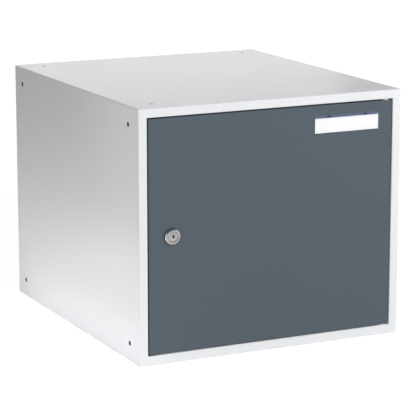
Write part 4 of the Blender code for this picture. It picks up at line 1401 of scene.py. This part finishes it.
for x, z, _ in label_feet():
    add_foot(holder, x, z)
round_edges(holder, HOLDER_EDGE)
# The slopes get painted refraction: a bluish colour for the door seen through them.
paint_where(holder, painted_slope_refraction, on_slope)
# The clips and the openings over them get painted shade: near-black for the dark slots behind them.
paint_where(holder, shaded, at_foot)
seat(holder, "door", "clear_plastic", "label_cover")

# %% [markdown]
# A plain white card slides in behind the window. One flat face would do, but a real card is never quite
# flat and has a thickness at its ends. So a grid is bent to a faint bow, by a cosine across its width,
# and Solidify gives it its thickness.

# %% The card
CARD_CELLS = (24, 6)
CARD_THICKNESS = 0.2 * MM
BOW_PARTS = 3


def make_card():
    """A card with a faint bow."""
    bm = bmesh.new()
    bmesh.ops.create_grid(bm, x_segments=CARD_CELLS[0], y_segments=CARD_CELLS[1], size=0.5)
    width, height = CARD_HIGH.x - CARD_LOW.x, CARD_HIGH.z - CARD_LOW.z
    middle, bow = (CARD_LOW.z + CARD_HIGH.z) / 2, (CARD_HIGH.y - CARD_LOW.y) / BOW_PARTS
    for vert in bm.verts:
        across, up = vert.co.x, vert.co.y
        y = CARD_HIGH.y - bow * math.cos(math.pi * across)
        vert.co = (LABEL_X + across * width, y, middle + up * height)
    made = new_object("name_card", bm, card)
    solid = made.modifiers.new("Thickness", "SOLIDIFY")
    solid.thickness, solid.offset = CARD_THICKNESS, 0
    bake_modifiers(made)
    return made


seat(make_card(), "door", "card", "label_card")

# %% [markdown]
# The brass wafers sit inside the plug and can't be seen from outside. Finer copies could be made of
# them, but nobody would see the difference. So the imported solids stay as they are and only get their
# finish.

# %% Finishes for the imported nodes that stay
for name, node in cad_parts.items():
    if not node.hide_render:
        node.data.materials.clear()
        node.data.materials.append(brass)
        print("packed node", name, "keeps its shape, in", brass.name)

# %% [markdown]
# The locker stands on a pale floor that can't be told from the white background. A strong lamp could
# whiten the floor, but it would burn out the locker too. So part of the floor is emission that only the
# camera, clear plastic and, dimmer, gloss can see, and the rest is diffuse and keeps the locker's
# shadow. The emitting share grows with distance, so that the floor's own edge is never seen.

# %% The floor
FLOOR_SIZE = 12.0
FLOOR_DROP = 0.1 * MM
FLOOR_COLOUR = (0.90, 0.90, 0.90)
FLOOR_ROUGHNESS = 0.9
FLOOR_WHITE_SHARE = 0.86
FLOOR_GLOW = 1.10
FLOOR_MIRRORED = 0.6
SHADOW_END, WHITE_START = 0.8, 3.0


def fall_between(tree, value, low, high, at_low, at_high):
    """A smooth change from one level to another between two values."""
    reach = {"From Min": low, "From Max": high, "To Min": at_low, "To Max": at_high}
    node = put(tree, "ShaderNodeMapRange", {"Value": value}, reach, interpolation_type="SMOOTHSTEP")
    return node.outputs["Result"]


def rays_seen(tree, mirrored):
    """How much each kind of ray sees: all of it for the camera and clear plastic, a share for gloss."""
    path = put(tree, "ShaderNodeLightPath").outputs
    gloss = multiply(tree, path["Is Glossy Ray"], mirrored)
    straight = math_node(tree, "MAXIMUM", path["Is Camera Ray"], path["Is Transmission Ray"])
    return math_node(tree, "MAXIMUM", straight, gloss), path


def make_floor():
    """A pale floor that is nearly white to the camera."""
    bm = bmesh.new()
    bmesh.ops.create_grid(bm, x_segments=1, y_segments=1, size=FLOOR_SIZE / 2)
    material, shader = plain_material("studio_floor", FLOOR_COLOUR, FLOOR_ROUGHNESS)
    shader.inputs["Specular IOR Level"].default_value = 0.0
    tree = material.node_tree
    light = put(tree, "ShaderNodeEmission", values={"Strength": FLOOR_GLOW})
    rays, _ = rays_seen(tree, FLOOR_MIRRORED)
    away = put(tree, "ShaderNodeVectorMath", {0: object_place(tree)}, operation="LENGTH").outputs["Value"]
    white = fall_between(tree, away, SHADOW_END, WHITE_START, FLOOR_WHITE_SHARE, 1.0)
    mixed = put(tree, "ShaderNodeMixShader", {"Fac": multiply(tree, rays, white)})
    tree.links.new(shader.outputs[0], mixed.inputs[1])
    tree.links.new(light.outputs[0], mixed.inputs[2])
    tree.links.new(mixed.outputs[0], tree.nodes["Material Output"].inputs["Surface"])
    floor = new_object("studio_floor", bm, material)
    floor.location.z = -FLOOR_DROP
    print("floor", FLOOR_SIZE, "m across,", FLOOR_WHITE_SHARE, "of it white near the locker")


make_floor()

# %% [markdown]
# The background is white to the camera. In gloss it is white too, apart from a dim part nearly overhead,
# as under the ceiling of a studio, which gives the lock's metal its darker tones. A dark board over the
# set could do that, but it would take light off the locker. Diffuse rays get a low even light, which
# fills the shadows.

# %% The background
AMBIENT = 0.2
DIM_WAY = (-0.05, -0.40, 0.92)
DIM_START, DIM_END = 0.38, 0.72
DIM_STRENGTH = 0.12


def make_world():
    """White to the camera, white with a dim part overhead to gloss, and low to diffuse rays."""
    world = bpy.data.worlds.new("studio")
    bpy.context.scene.world = world
    world.use_nodes = True
    tree = world.node_tree
    way = put(tree, "ShaderNodeTexCoord").outputs["Generated"]
    towards = put(tree, "ShaderNodeVectorMath", {0: way}, {1: DIM_WAY}, operation="DOT_PRODUCT")
    dim = fall_between(tree, towards.outputs["Value"], DIM_START, DIM_END, 1.0, DIM_STRENGTH)
    rays, path = rays_seen(tree, dim)
    ambient = multiply(tree, path["Is Diffuse Ray"], AMBIENT)
    shader = tree.nodes["Background"]
    shader.inputs["Color"].default_value = (1.0, 1.0, 1.0, 1.0)
    tree.links.new(math_node(tree, "MAXIMUM", rays, ambient), shader.inputs["Strength"])
    print("background of strength 1,", AMBIENT, "for diffuse rays")


make_world()

# %% [markdown]
# In the photo the front is evenly lit, the left side is light at its foot and grey at its top, and the
# top gets lighter towards the back. One lamp can't do all that. So a big soft lamp at the right lights
# the front, low strips beside the left side light its foot, as a white table would, two small lamps
# lift its upper front corner, and three at the back and above lift the top. The biggest and the two
# small ones are kept out of gloss, where they would show as blots on the lock and the paint.

# %% The lamps
def add_lamp(name, place, target, width, height, power, mirrored=True):
    """A soft lamp that looks at a point and isn't seen itself. Gloss may leave it out too."""
    data = bpy.data.lights.new(name, "AREA")
    data.shape, data.size, data.size_y, data.energy = "RECTANGLE", width, height, power
    lamp = bpy.data.objects.new(name, data)
    lamp.location = place
    lamp.rotation_mode = "QUATERNION"
    lamp.rotation_quaternion = (Vector(target) - Vector(place)).to_track_quat("-Z", "Y")
    lamp.visible_camera = False
    lamp.visible_glossy = mirrored
    bpy.context.scene.collection.objects.link(lamp)
    print(name, "of", power, "W,", width, "by", height, "m")


# Each line gives a lamp's place, what it looks at, its width and height in metres and its power in watts.
MIDDLE = (0.0, 0.0, HEIGHT / 2)
TOP_BACK = (0.0, 0.1, 0.35)
add_lamp("front_lamp", (1.6, -3.0, 1.5), MIDDLE, 3.6, 3.0, 124.0, False)
add_lamp("side_high_lamp", (-0.45, -0.35, 0.55), (-0.2, -0.15, 0.25), 0.3, 0.2, 0.06, False)
add_lamp("side_corner_lamp", (-0.42, -0.22, 0.34), (-0.2, -0.22, 0.32), 0.12, 0.12, 0.097, False)
add_lamp("side_far_lamp", (-0.60, -0.10, 0.05), (-0.2, -0.10, 0.02), 1.1, 0.08, 0.14)
add_lamp("side_middle_lamp", (-0.40, -0.04, 0.04), (-0.2, -0.04, 0.03), 0.8, 0.06, 0.415)
add_lamp("side_close_lamp", (-0.25, -0.11, 0.010), (-0.2, -0.11, 0.008), 0.6, 0.015, 0.034)
add_lamp("back_lamp", (0.2, 1.4, 0.85), TOP_BACK, 1.2, 0.6, 0.225)
add_lamp("back_top_lamp", (0.05, 0.42, 0.47), TOP_BACK, 0.8, 0.1, 0.45)
add_lamp("rear_lamp", (0.0, 3.2, 0.5), MIDDLE, 0.36, 0.36, 9.0)

# %% [markdown]
# The camera stands to the left and a little above, with a long lens, as in the photograph. It could be
# moved about by eye, but a few pixels of error would show along every edge. So its place and lens were
# worked out from where the corners of the casing and of the door opening lie in the photo.

# %% The camera
CAMERA_PLACE = Vector((-1.276046, -2.639909, 0.789594))
CAMERA_AZIMUTH = math.radians(-26.0)
CAMERA_ELEVATION = math.radians(12.2)
CAMERA_LENS = 177.47

camera_data = bpy.data.cameras.new("camera")
camera_data.lens = CAMERA_LENS
camera = bpy.data.objects.new("camera", camera_data)
bpy.context.scene.collection.objects.link(camera)
level_reach = math.cos(CAMERA_ELEVATION)
towards = Vector((math.sin(CAMERA_AZIMUTH) * level_reach, -math.cos(CAMERA_AZIMUTH) * level_reach))
back_way = Vector((towards.x, towards.y, math.sin(CAMERA_ELEVATION)))
camera.location = CAMERA_PLACE
camera.rotation_mode = "QUATERNION"
camera.rotation_quaternion = (-back_way).to_track_quat("-Z", "Y")
bpy.context.scene.camera = camera
bpy.context.scene.view_settings.view_transform = "Standard"
print("camera at", tuple(round(value, 3) for value in camera.location))

# %% [markdown]
# A dressed locker has to fill the same box as the imported one. That could be judged by eye, but a tenth
# of a millimetre doesn't show; here only the pieces and their faces are counted and printed.

# %% Count the pieces and their faces
bpy.context.view_layer.update()
print(len(finished), "pieces,", sum(len(made.data.polygons) for made in finished), "faces")
